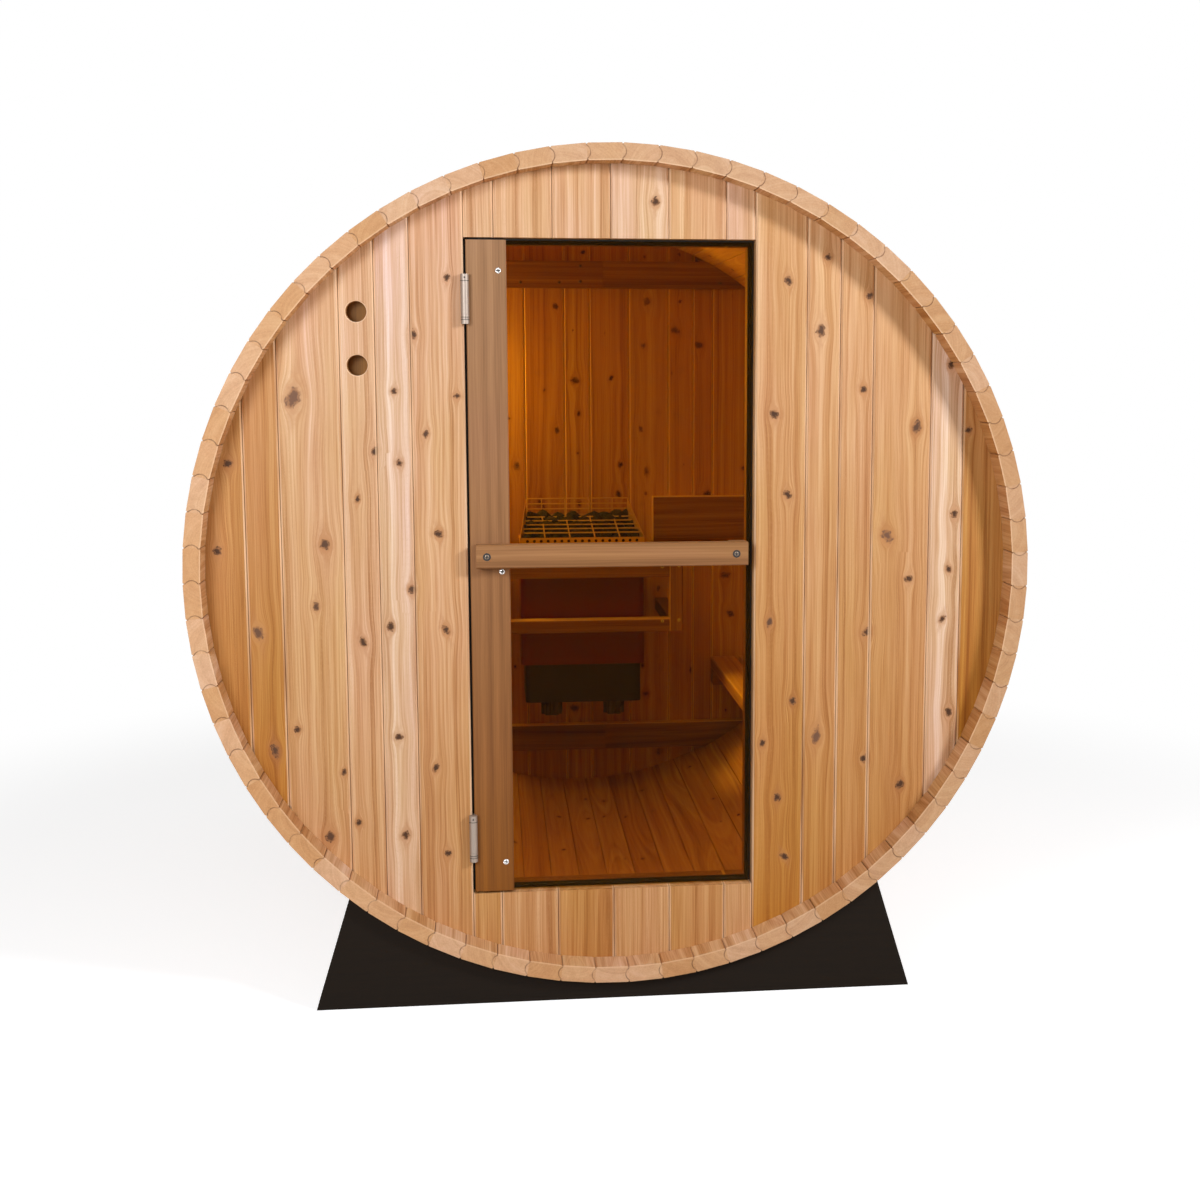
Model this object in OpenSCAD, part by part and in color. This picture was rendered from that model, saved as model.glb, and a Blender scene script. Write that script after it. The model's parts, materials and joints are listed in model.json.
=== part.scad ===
// Barrel sauna: a round cabin of bead-and-cove staves on two cradles, with a hinged glass door,
// a wall-hung heater behind a wooden guard, and a bench along each side.
// Millimetres, +Z up. The barrel axis runs along Y, and the front faces -Y.
// The origin is on the ground, under the middle of the barrel.

/* [Shell] */
// Length of the staves, rim to rim
shell_len = 1760; // [1600:10:2400]
// Distance from the barrel axis to the outer faces of the staves
shell_r = 914.4; // [880:0.1:1000]
// Thickness of a stave
stave_t = 36; // [30:1:44]
// Staves in each of the fifteen bundles of the shell
staves_per_bundle = 5; // [4:1:6]
// Turn of the shell about its axis, in degrees
stave_turn = -1.4; // [-2.4:0.1:2.4]
// Depth of the croze, the groove in the staves that holds an end wall
croze_depth = 12; // [6:1:18]

/* [End walls] */
// Thickness of the end wall boards
wall_t = 36; // [30:1:44]
// Distance from the rim back to the face of an end wall
wall_recess = 63; // [55:1:120]
// Width of the boards over and under the doorway
door_board_w = 125.5; // [110:0.5:140]
// Width of the bevel along the boards' edges
board_bevel = 4.5; // [2:0.5:6]
// Height of the battens that tie the rear wall boards
batten_h = 83; // [60:1:110]
// Thickness of these battens
batten_t = 28; // [18:1:40]
// Distance from the staves to a batten, at the barrel's middle
batten_gap = 103; // [60:1:160]
// Joint between the two lengths of the top batten, right of the axis
batten_joint = 86; // [0:1:200]
// Width of the backrest board on the rear wall
backrest_w = 400; // [300:1:450]
// Height of the backrest board
backrest_h = 144; // [90:1:200]
// Thickness of the backrest board
backrest_t = 28; // [18:1:40]
// Distance from the right end of the backrest board to the side of the shell
backrest_gap = 238; // [180:1:300]
// Distance from the heater guard up to the backrest board
backrest_lift = 23; // [5:1:60]

/* [Vents] */
// Diameter of a vent hole
vent_d = 44; // [30:1:60]
// Distance between the two vent holes
vent_pitch = 113; // [80:1:140]
// Distance from the staves down to the middle of the upper vent
vent_drop = 121; // [90:1:300]
// Thickness of the cover board behind the vents
vent_cover_t = 12; // [8:1:20]
// How far the cover board laps over the edge of a vent
vent_cover_lap = 25; // [10:1:30]

/* [Doorway] */
// Width of the doorway
door_w = 630; // [560:1:680]
// Height of the wall over the doorway, at the barrel's middle
door_head = 156; // [135:1:220]
// Height of the wall under the doorway, at the barrel's middle
door_sill = 159; // [135:1:220]
// Middle of the doorway, right of the axis
door_shift = -6; // [-30:1:30]

/* [Door] */
// Gap round the door leaf
door_gap = 5; // [5:0.5:8]
// Width of the stile
stile_w = 86; // [70:1:110]
// Thickness of the stile
stile_t = 16; // [14:0.5:20]
// Thickness of the glass
glass_t = 8; // [6:0.5:10]
// Bevel along the upright edges of the glass
glass_bevel = 1; // [0.5:0.1:2]
// Height of the handle bar
handle_h = 51; // [35:1:70]
// Thickness of the handle bar
handle_t = 32; // [20:1:40]
// Middle of the handle bar, above the axis
handle_rise = 42; // [-60:1:120]
// Distance from the edge of the leaf to the end of the handle bar
handle_inset = 13; // [5:1:30]
// Length of the block that holds the free end of the handle bar off the glass
spacer_w = 40; // [25:1:60]
// Width of the seal round the doorway
seal_w = 13; // [10:0.5:18]
// Thickness of the seal
seal_t = 7; // [5:0.5:10]
// Gap between the glass and the seal
seal_gap = 5; // [5:0.5:7]
// Width of the door stops round the inside of the doorway
stop_w = 60; // [45:1:70]
// Thickness of the door stops
stop_t = 35; // [20:1:45]

/* [Hinges] */
// Length of a hinge
hinge_len = 105; // [80:1:130]
// Diameter of the hinge barrel
hinge_d = 18; // [14:0.5:22]
// Diameter of the hinge pin
pin_d = 7; // [5:0.5:9]
// Distance from the end of the leaf to the middle of a hinge
hinge_inset = 125; // [90:1:250]

/* [Cradles] */
// How far the foot of a cradle reaches out past its tip
cradle_flare = 79; // [20:1:160]
// Thickness of a cradle along the barrel
cradle_t = 70; // [40:1:120]
// Distance from the rim to the cradle
cradle_inset = 23; // [10:1:200]
// Angle from the lowest stave up to the tip of a cradle, in degrees
cradle_wrap = 40; // [30:1:45]
// Height of the lowest stave above the ground
ground_gap = 44; // [35:1:90]

/* [Hoop bands] */
// Width of a band
band_w = 25; // [18:1:40]
// Thickness of a band
band_t = 1.2; // [0.8:0.1:2]
// Distance from the rim to the middle of a band
band_inset = 380; // [250:1:600]

/* [Heater] */
// Width of the heater
heater_w = 370; // [320:1:420]
// Depth of the heater
heater_d = 300; // [250:1:340]
// Height of the heater casing
heater_h = 360; // [300:1:420]
// Middle of the heater, right of the axis
heater_shift = -2; // [-40:1:20]
// Height of the control box above the lowest stave
heater_lift = 328; // [250:1:400]
// Air gap between the heater and the rear wall
heater_gap = 55; // [40:1:80]
// Thickness of the casing's sheet metal
sheet_t = 2; // [1.5:0.1:3]
// Depth of the stone basket below the top of the casing
basket_depth = 100; // [60:1:160]
// Height of the stone guard at its front
lip_h = 22; // [15:1:40]
// Height of the stone guard at its back
back_h = 115; // [90:1:140]
// Height of the stones' back plate
bed_back_h = 66; // [40:1:80]
// How far each side of the stone guard comes in at its back
guard_taper = 25; // [0:1:40]
// Diameter of the round holes in the stone guard
guard_hole_d = 9; // [6:0.5:11]
// Diameter of the rods of the stone grid
rod_d = 4; // [3:0.5:6]
// Width of the control box
control_w = 346; // [300:1:365]
// Depth of the control box
control_d = 240; // [200:1:245]
// Height of the control box
control_h = 115; // [80:1:130]
// Diameter of a knob
knob_d = 64; // [45:1:70]
// Height of a knob
knob_h = 40; // [24:1:50]
// Distance between the two knobs
knob_pitch = 188; // [120:1:220]
// Distance of the knobs behind the front of the control box
knob_inset = 45; // [35:1:80]

/* [Heater guard] */
// Thickness of the guard's bars
guard_t = 40; // [30:1:50]
// Height of the guard's rails
guard_rail_h = 39; // [35:1:60]
// Clear height between the guard's rails
guard_window = 123; // [90:1:180]
// Distance from the top of the heater casing down to the top of the guard
guard_drop = 51; // [10:1:90]
// Clear space between the heater and the posts at its sides
guard_side_gap = 67; // [50:1:90]
// Clear space between the heater and the guard's front
guard_front_gap = 36; // [25:1:60]

/* [Benches] */
// Width of a bench slat
slat_w = 80; // [60:1:90]
// Thickness of a bench slat
slat_t = 38; // [28:1:45]
// Gap between bench slats
slat_gap = 12; // [8:1:20]
// Slats in a bench
slat_count = 3; // [2:1:3]
// Height of the benches above the lowest stave
seat_h = 394; // [360:1:430]
// Gap between a bench and the staves beside it
bench_gap = 10; // [5:1:20]
// Height of the cleats that carry the benches
cleat_h = 45; // [35:1:70]
// Thickness of these cleats
cleat_t = 60; // [50:1:80]

/* [Hidden] */

$fn = 96;
// Facets of the large circles round the barrel axis
rim_fn = 360;
// Overrun that carries every cut clear through
overrun = 1;
// Gap between pieces that seat on or slide into each other
seat_gap = 0.3;
// Small bevel along the edges of sawn wood
wood_bevel = 2.5;

// Stave bundles, staves and the joint between them
bundle_count = 15;
stave_count = bundle_count * staves_per_bundle;
stave_angle = 360 / stave_count;
half_angle = stave_angle / 2;
bead_r_share = 0.44;
bead_rise_share = 0.2;
bead_r = stave_t * bead_r_share;
bead_rise = stave_t * bead_rise_share;
inner_r = shell_r - stave_t;
mid_r = shell_r - stave_t / 2;
corner_r = shell_r / cos(half_angle);
croze_w = 2 * (shell_r * tan(half_angle) + bead_rise + overrun);
bead_centre = [mid_r * tan(half_angle) - bead_r + bead_rise, mid_r];

// Heights and depths of the cabin
axis_h = corner_r + ground_gap;
front_y = -shell_len / 2;
wall_y = front_y + wall_recess;
wall_mid_y = wall_y + wall_t / 2;
inside_front_y = wall_y + wall_t;
inside_rear_y = -inside_front_y;
wall_r = inner_r + croze_depth - seat_gap;
floor_z = axis_h - inner_r;

// Doorway and leaf
door_left = door_shift - door_w / 2;
door_right = door_shift + door_w / 2;
door_bottom = floor_z + door_sill;
door_top = axis_h + inner_r - door_head;
door_h = door_top - door_bottom;
leaf_left = door_left + door_gap;
leaf_right = door_right - door_gap;
leaf_bottom = door_bottom + door_gap;
leaf_top = door_top - door_gap;
seal_y = inside_front_y - seal_t;
glass_y = seal_y - seal_gap - glass_t;
stile_y = glass_y - stile_t;
handle_left = leaf_left + handle_inset;
handle_right = leaf_right - handle_inset;
handle_z = axis_h + handle_rise;

// Seal round the doorway
seal_base_share = 0.45;
seal_bulb_share = 0.42;
stop_lap = stop_w - seal_w;
stop_reach = max(-door_left, door_right) + stop_lap;

// Seams of the end wall boards: beside the doorway as shares of the span from doorway to croze,
// and on the rear wall as shares of its radius
side_seam_shares = [0.20, 0.33, 0.46, 0.69, 0.82];
vent_board_index = 2;
rear_seam_shares = [-0.88, -0.74, -0.60, -0.46, -0.32, -0.18, -0.04, 0.05,
                    0.19, 0.33, 0.42, 0.49, 0.63, 0.77, 0.90];
side_span = wall_r - door_w / 2;
side_seams = concat([0], side_span * side_seam_shares, [shell_r]);
middle_seams = [for (k = [-2 : 2]) door_shift + k * door_board_w];
rear_seams = concat([-shell_r], wall_r * rear_seam_shares, [shell_r]);
vent_x = door_left - (side_seams[vent_board_index] + side_seams[vent_board_index + 1]) / 2;
vent_top_z = axis_h + sqrt(pow(inner_r, 2) - pow(vent_x, 2)) - vent_drop;
vent_zs = [vent_top_z, vent_top_z - vent_pitch];

// Hinges
hinge_stand_off = 0.5;
hinge_leaf_t = 1.2;
hinge_leaf_reach = 13;
hinge_x = door_left + door_gap / 2;
hinge_y = min(wall_y, stile_y) - hinge_d / 2 - hinge_stand_off;
hinge_zs = [leaf_top - hinge_inset, leaf_bottom + hinge_inset];
top_knuckle_share = 0.13;
bottom_knuckle_share = 0.2;
hinge_low = -hinge_len / 2 + hinge_len * bottom_knuckle_share;
hinge_high = hinge_len / 2 - hinge_len * top_knuckle_share;
hinge_leaf_end = max(wall_y, stile_y) + hinge_leaf_reach;
hinge_groove = 0.8;
hinge_groove_share = 0.1;

// Cradles and bands
cradle_y = front_y + cradle_inset + cradle_t / 2;
cradle_r = corner_r + seat_gap;
cradle_tip = cradle_r * [sin(cradle_wrap), -cos(cradle_wrap)];
cradle_foot = [cradle_tip.x + cradle_flare, -axis_h];
band_inner_r = corner_r + seat_gap;
band_outer_r = band_inner_r + band_t;
band_y = front_y + band_inset;
band_opening = 40;
band_lug_t = 3;
band_lug_h = 20;
band_bolt_d = 8;
band_bolt_len = 80;

// Heater
heater_back_y = inside_rear_y - heater_gap;
heater_mid_y = heater_back_y - heater_d / 2;
heater_front_y = heater_back_y - heater_d;
control_bottom = floor_z + heater_lift;
casing_bottom = control_bottom + control_h;
casing_top = casing_bottom + heater_h;
casing_edge_r = 18;
basket_inset = sheet_t + seat_gap;
grid_slope = atan((bed_back_h - lip_h) / heater_d);
grid_long_rods = 4;
grid_cross_rods = 5;
grid_back_rods = 3;
guard_turn = atan(guard_taper / heater_d);
stone_gap = 6;
guard_front_holes = 17;
guard_side_holes = 13;
guard_hole_rows = 4;
knob_gap = 3;
knob_shaft_d = 8;
knob_shaft_len = 18;
knob_y = heater_front_y + knob_inset;
knob_lobes = 6;
knob_core_share = 0.76;
knob_lobe_share = 0.3;
bracket_w = 40;
bracket_h_share = 0.6;
bracket_spread_share = 0.3;

// Heater guard
guard_half_w = heater_w / 2 + guard_side_gap;
guard_back_y = heater_front_y - guard_front_gap;
guard_top = casing_top - guard_drop;
guard_bottom = guard_top - guard_window - 2 * guard_rail_h;
guard_rail_zs = [guard_top - guard_rail_h / 2, guard_bottom + guard_rail_h / 2];

// Benches
bench_top = floor_z + seat_h;
bench_under = bench_top - slat_t;
bench_front_y = inside_front_y + stop_t + seat_gap;
cleat_under = bench_under - cleat_h;
bench_w = slat_count * slat_w + (slat_count - 1) * slat_gap;
bench_outer = sqrt(pow(inner_r, 2) - pow(axis_h - bench_under, 2)) - bench_gap;
bench_inner = bench_outer - bench_w;
cleat_outer = sqrt(pow(inner_r, 2) - pow(axis_h - cleat_under, 2)) - bench_gap;
cleat_inner = max(bench_inner, stop_reach + seat_gap);

// Colours
cedar = [0.80, 0.60, 0.40];
cedar_dark = [0.66, 0.48, 0.34];
stain = [0.09, 0.08, 0.08];
steel = [0.75, 0.75, 0.74];
black = [0.06, 0.06, 0.06];
enamel = [0.32, 0.10, 0.09];
stone = [0.20, 0.20, 0.20];
bronze_glass = [0.45, 0.24, 0.06, 0.6];

// Lifts its children from the ground to the barrel axis
module on_axis() {
    translate([0, 0, axis_h]) children();
}

// Turns an outline drawn in X and Z into a plate of the given thickness, from y back
module plate(y, thickness) {
    translate([0, y + thickness, 0]) rotate([90, 0, 0]) linear_extrude(height = thickness) children();
}

// Straight bar between two corners with its four long edges bevelled, running along x, y or z
module bar(low, high, along, bevel = wood_bevel) {
    size = high - low;
    mid = (low + high) / 2;
    turn = along == "x" ? [90, 0, 90] : along == "y" ? [90, 0, 0] : [0, 0, 0];
    flat = along == "x" ? [size.y, size.z] : along == "y" ? [size.x, size.z] : [size.x, size.y];
    len = along == "x" ? size.x : along == "y" ? size.y : size.z;
    translate(mid) rotate(turn) linear_extrude(height = len, center = true) bevelled(flat, bevel);
}

// Rectangle with its corners cut off
module bevelled(size, bevel) {
    a = size / 2;
    b = a - [bevel, bevel];
    polygon([[-b.x, -a.y], [b.x, -a.y], [a.x, -b.y], [a.x, b.y],
             [b.x, a.y], [-b.x, a.y], [-a.x, b.y], [-a.x, -b.y]]);
}

// Rectangle with round corners
module rounded(size, r) {
    square([size.x - 2 * r, size.y], center = true);
    square([size.x, size.y - 2 * r], center = true);
    for (sx = [-1, 1], sy = [-1, 1])
        translate([sx * (size.x / 2 - r), sy * (size.y / 2 - r)]) circle(r = r);
}

// Half the width of a stave at a distance from the barrel axis
function stave_half(r) = r * tan(half_angle) - seat_gap / 2;

// Cross-section of the topmost stave, drawn round the barrel axis: bead right, cove left
module stave_outline() {
    out_half = stave_half(shell_r) - wood_bevel;
    out_low = shell_r - wood_bevel;
    in_half = stave_half(inner_r) - wood_bevel;
    in_high = inner_r + wood_bevel;
    difference() {
        union() {
            polygon([[-out_half, shell_r], [out_half, shell_r],
                     [stave_half(out_low), out_low], [stave_half(in_high), in_high],
                     [in_half, inner_r], [-in_half, inner_r],
                     [-stave_half(in_high), in_high], [-stave_half(out_low), out_low]]);
            translate(bead_centre) circle(r = bead_r);
        }
        rotate(stave_angle) translate(bead_centre) circle(r = bead_r + seat_gap);
    }
}

// One stave with its two crozes, counted clockwise from the top as seen from the front
module stave(index) {
    croze_size = [croze_w, wall_t + 2 * seat_gap, croze_depth + overrun];
    on_axis() rotate([0, index * stave_angle + stave_turn, 0]) difference() {
        plate(front_y, shell_len) stave_outline();
        for (side = [-1, 1])
            translate([0, side * wall_mid_y, inner_r + (croze_depth - overrun) / 2])
                cube(croze_size, center = true);
    }
}

// Bundle of neighbouring staves
module staves(bundle) {
    color(cedar)
        for (k = [0 : staves_per_bundle - 1]) stave(bundle * staves_per_bundle + k);
}

// Board of an end wall between two seams and two heights from the axis, its ends cut to the croze
module board(y, left, right, bottom, top) {
    color(cedar) on_axis() intersection() {
        translate([0, y - overrun, 0]) rotate([-90, 0, 0])
            cylinder(r = wall_r, h = wall_t + 2 * overrun, $fn = rim_fn);
        bar([left + seat_gap / 2, y, bottom], [right - seat_gap / 2, y + wall_t, top], "z", board_bevel);
    }
}

// Board beside the doorway, counted outwards from it, on the left or the right side
module side_board(side, index) {
    edge = side > 0 ? door_right - seat_gap / 2 : door_left + seat_gap / 2;
    near = edge + side * side_seams[index];
    far = edge + side * side_seams[index + 1];
    board(wall_y, min(near, far), max(near, far), -shell_r, shell_r);
}

// Boards between the sides of the doorway, over or under it
module middle_boards(bottom, top) {
    seams = concat([door_left], middle_seams, [door_right]);
    for (k = [0 : len(seams) - 2]) board(wall_y, seams[k], seams[k + 1], bottom, top);
}

module front_wall_left() {
    for (k = [0 : len(side_seams) - 2])
        if (k != vent_board_index) side_board(-1, k);
}

// Board at the left with the two vent holes
module vent_board() {
    difference() {
        side_board(-1, vent_board_index);
        for (z = vent_zs)
            translate([vent_x, wall_y - overrun, z]) rotate([-90, 0, 0])
                cylinder(d = vent_d, h = wall_t + 2 * overrun);
    }
}

// Board on the inside that closes the two vents
module vent_cover() {
    reach = vent_d / 2 + vent_cover_lap;
    color(cedar_dark) bar([vent_x - reach, inside_front_y + seat_gap, vent_zs[1] - reach],
        [vent_x + reach, inside_front_y + seat_gap + vent_cover_t, vent_zs[0] + reach], "z");
}

module front_wall_right() {
    for (k = [0 : len(side_seams) - 2]) side_board(1, k);
}

module front_wall_over_door() {
    middle_boards(door_top - axis_h, shell_r);
}

module front_wall_under_door() {
    middle_boards(-shell_r, door_bottom - axis_h);
}

module rear_wall() {
    for (k = [0 : len(rear_seams) - 2])
        board(inside_rear_y, rear_seams[k], rear_seams[k + 1], -shell_r, shell_r);
}

// Battens across the rear wall, their ends cut to the curve of the shell
module rear_battens() {
    batten_y = inside_rear_y - batten_t;
    low = inner_r - batten_gap - batten_h;
    color(cedar_dark) on_axis() plate(batten_y, batten_t) intersection() {
        circle(r = inner_r - seat_gap, $fn = rim_fn);
        union() {
            translate([-shell_r, low]) square([shell_r + batten_joint, batten_h]);
            translate([batten_joint + seat_gap, low]) square([shell_r, batten_h]);
            translate([-shell_r, -low - batten_h]) square([2 * shell_r, batten_h]);
        }
    }
}

module backrest() {
    right = inner_r - backrest_gap;
    bottom = guard_top + backrest_lift;
    color(cedar_dark) bar([right - backrest_w, inside_rear_y - backrest_t, bottom],
        [right, inside_rear_y, bottom + backrest_h], "x");
}

// Cradle across the barrel, its top hollowed to the shell
module cradle() {
    edge = cradle_tip - cradle_foot;
    end = cradle_foot + edge * (norm(edge) + stave_t) / norm(edge);
    color(stain) on_axis() plate(cradle_y - cradle_t / 2, cradle_t) difference() {
        polygon([[-cradle_foot.x, cradle_foot.y], cradle_foot, end, [-end.x, end.y]]);
        circle(r = cradle_r, $fn = rim_fn);
    }
}

module front_cradle() {
    cradle();
}

module rear_cradle() {
    mirror([0, 1, 0]) cradle();
}

// Flat steel hoop with a bolted opening under the barrel
module band() {
    lug_x = (band_opening + band_lug_t) / 2;
    lug_z = (inner_r + shell_r + band_lug_h) / 2;
    on_axis() translate([0, band_y, 0]) {
        plate(-band_w / 2, band_w) difference() {
            union() {
                circle(r = band_outer_r, $fn = rim_fn);
                for (side = [-1, 1])
                    translate([side * lug_x, -lug_z])
                        square([band_lug_t, band_outer_r - inner_r + band_lug_h], center = true);
            }
            circle(r = band_inner_r, $fn = rim_fn);
            translate([-band_opening / 2, -band_outer_r - overrun])
                square([band_opening, band_outer_r]);
        }
        translate([0, 0, -band_outer_r - band_lug_h / 2]) rotate([0, 90, 0])
            cylinder(d = band_bolt_d, h = band_bolt_len, center = true);
    }
}

module hoop_bands() {
    color(steel) {
        band();
        mirror([0, 1, 0]) band();
    }
}

module door_glass() {
    color(bronze_glass)
        bar([leaf_left, glass_y, leaf_bottom], [leaf_right, glass_y + glass_t, leaf_top], "z", glass_bevel);
}

module door_stile() {
    color(cedar_dark)
        bar([leaf_left, stile_y, leaf_bottom], [leaf_left + stile_w, glass_y, leaf_top], "z");
}

module door_handle() {
    color(cedar_dark) bar([handle_left, stile_y - handle_t, handle_z - handle_h / 2],
        [handle_right, stile_y, handle_z + handle_h / 2], "x");
}

module handle_spacer() {
    color(cedar_dark) bar([handle_right - spacer_w, stile_y, handle_z - handle_h / 2],
        [handle_right, glass_y, handle_z + handle_h / 2], "y");
}

// Stands its children on each hinge's axis, at the middle of the hinge
module at_hinges() {
    for (z = hinge_zs) translate([hinge_x, hinge_y, z]) children();
}

// Hinge leaf plate beside the axis, from the axis into the gap between the door and the wall
module hinge_leaf(side) {
    offset_x = side * (door_gap - hinge_leaf_t) / 2;
    translate([offset_x - hinge_leaf_t / 2, 0, -hinge_len / 2])
        cube([hinge_leaf_t, hinge_leaf_end - hinge_y, hinge_len]);
}

// Round clearance about the hinge axis between two heights
module knuckle(d, low, high) {
    translate([0, 0, low]) cylinder(d = d, h = high - low);
}

module door_hinge_leaves() {
    clear_d = hinge_d + 2 * seat_gap;
    color(steel) at_hinges() difference() {
        union() {
            knuckle(hinge_d, hinge_low + seat_gap, hinge_high - seat_gap);
            hinge_leaf(1);
        }
        knuckle(pin_d + 2 * seat_gap, hinge_low - overrun, hinge_high + overrun);
        knuckle(clear_d, hinge_high - seat_gap, hinge_len / 2 + overrun);
        knuckle(clear_d, -hinge_len / 2 - overrun, hinge_low + seat_gap);
    }
}

module frame_hinge_leaves() {
    groove_z = hinge_len * (hinge_groove_share - 1 / 2);
    color(steel) at_hinges() {
        difference() {
            union() {
                knuckle(hinge_d, hinge_high, hinge_len / 2);
                knuckle(hinge_d, -hinge_len / 2, hinge_low);
                hinge_leaf(-1);
            }
            knuckle(hinge_d + 2 * seat_gap, hinge_low, hinge_high);
            difference() {
                knuckle(hinge_d + overrun, groove_z, groove_z + hinge_groove);
                knuckle(hinge_d - 2 * hinge_groove, groove_z - overrun, groove_z + hinge_groove + overrun);
            }
        }
        knuckle(pin_d, hinge_low - overrun, hinge_high + overrun);
    }
}

// Section of the seal: a flat base with a round bulb in front
module seal_outline() {
    bulb_r = seal_t * seal_bulb_share;
    square([seal_w, seal_t * seal_base_share]);
    translate([seal_w / 2, seal_t - bulb_r]) circle(r = bulb_r);
}

// Four strips of rubber round the doorway, behind the edge of the glass
module door_seal() {
    cross_len = door_w - 2 * seal_w - 2 * seat_gap;
    color(black) {
        for (x = [door_left, door_right - seal_w])
            translate([x, inside_front_y, door_bottom]) mirror([0, 1, 0])
                linear_extrude(height = door_h) seal_outline();
        for (z = [door_bottom, door_top - seal_w])
            translate([door_left + seal_w + seat_gap, inside_front_y, z]) rotate(180, [1, 0, 1])
                linear_extrude(height = cross_len) seal_outline();
    }
}

// Four boards round the inside of the doorway, that back the seal
module door_stops() {
    low = door_bottom - stop_lap;
    high = door_top + stop_lap;
    inner_left = door_left + seal_w;
    inner_right = door_right - seal_w;
    color(cedar_dark) {
        for (x = [inner_left - stop_w, inner_right])
            bar([x, inside_front_y, low], [x + stop_w, inside_front_y + stop_t, high], "z");
        for (z = [low, high - stop_w])
            bar([inner_left + seat_gap, inside_front_y, z],
                [inner_right - seat_gap, inside_front_y + stop_t, z + stop_w], "x");
    }
}

// Stands its children on the middle of the heater's plan, at a height
module at_heater(z) {
    translate([heater_shift, heater_mid_y, z]) children();
}

// Casing of sheet metal, open at the top
module heater_casing() {
    inner = [heater_w, heater_d] - 2 * [sheet_t, sheet_t];
    color(enamel) at_heater(casing_bottom) difference() {
        linear_extrude(height = heater_h) rounded([heater_w, heater_d], casing_edge_r);
        translate([0, 0, sheet_t]) linear_extrude(height = heater_h)
            rounded(inner, casing_edge_r - sheet_t);
    }
}

// Outline of the stone basket: set in from the casing and narrower at the back
module basket_outline(inset) {
    half = [heater_w, heater_d] / 2 - [inset, inset];
    back = half.x - guard_taper;
    intersection() {
        rounded(2 * half, casing_edge_r - inset);
        polygon([[-half.x, -half.y], [half.x, -half.y], [back, half.y], [-back, half.y]]);
    }
}

// Basket hung in the casing by its flange
module stone_basket() {
    color(steel) at_heater(casing_top) difference() {
        union() {
            linear_extrude(height = sheet_t) rounded([heater_w, heater_d], casing_edge_r);
            translate([0, 0, -basket_depth]) linear_extrude(height = basket_depth + sheet_t)
                basket_outline(basket_inset);
        }
        translate([0, 0, sheet_t - basket_depth]) linear_extrude(height = basket_depth + overrun)
            basket_outline(basket_inset + sheet_t);
    }
}

// Height of the stone guard at a share of its way from front to back
function guard_height(share) = lip_h + (back_h - lip_h) * share;

// Side plate of the stone guard, turned in towards the back, with rows of round holes
module guard_side_plate(side) {
    left = side < 0 ? 0 : -sheet_t;
    plate_len = heater_d / cos(guard_turn);
    row_step = lip_h - sheet_t;
    translate([side * heater_w / 2, -heater_d / 2, 0]) rotate([0, 0, side * guard_turn]) difference() {
        translate([left, 0, 0]) rotate([90, 0, 90]) linear_extrude(height = sheet_t)
            polygon([[0, sheet_t], [plate_len, sheet_t], [plate_len, back_h], [0, lip_h]]);
        for (k = [1 : guard_side_holes], row = [0 : guard_hole_rows - 1]) {
            share = k / (guard_side_holes + 1);
            z = sheet_t + (row + 1 / 2) * row_step;
            if (z + guard_hole_d < guard_height(share))
                translate([left - overrun, plate_len * share, z]) rotate([0, 90, 0])
                    cylinder(d = guard_hole_d, h = sheet_t + 2 * overrun);
        }
    }
}

// Four plates round the stones: a perforated lip, two perforated sides that rise, and a plain back
module stone_guard() {
    half_d = heater_d / 2;
    front_w = heater_w - 2 * basket_inset;
    back_w = front_w - 2 * guard_taper;
    row_z = sheet_t + (lip_h - sheet_t) / 2;
    color(steel) at_heater(casing_top) {
        difference() {
            translate([-front_w / 2, -half_d, sheet_t]) cube([front_w, sheet_t, lip_h - sheet_t]);
            for (k = [1 : guard_front_holes])
                translate([front_w * (k / (guard_front_holes + 1) - 1 / 2), -half_d - overrun, row_z])
                    rotate([-90, 0, 0]) cylinder(d = guard_hole_d, h = sheet_t + 2 * overrun);
        }
        translate([-back_w / 2, half_d - sheet_t, sheet_t]) cube([back_w, sheet_t, bed_back_h - basket_inset]);
        for (side = [-1, 1]) guard_side_plate(side);
    }
}

// Bed of stones heaped up to the grid
module heater_stones() {
    low = sheet_t + seat_gap - basket_depth;
    color(stone) at_heater(casing_top) intersection() {
        translate([0, 0, low]) linear_extrude(height = basket_depth + back_h)
            basket_outline(2 * basket_inset);
        translate([-heater_w / 2, 0, 0]) rotate([90, 0, 90]) linear_extrude(height = heater_w)
            polygon([[-heater_d / 2, low - overrun], [heater_d / 2, low - overrun],
                     [heater_d / 2, bed_back_h - stone_gap], [-heater_d / 2, lip_h - stone_gap]]);
    }
}

// Rod across the stone guard, at a share of its way from front to back
module cross_rod(share) {
    rod_len = heater_w - 2 * (basket_inset + seat_gap) - 2 * guard_taper * share;
    rotate([0, 90, 0]) cylinder(d = rod_d, h = rod_len, center = true);
}

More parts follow.
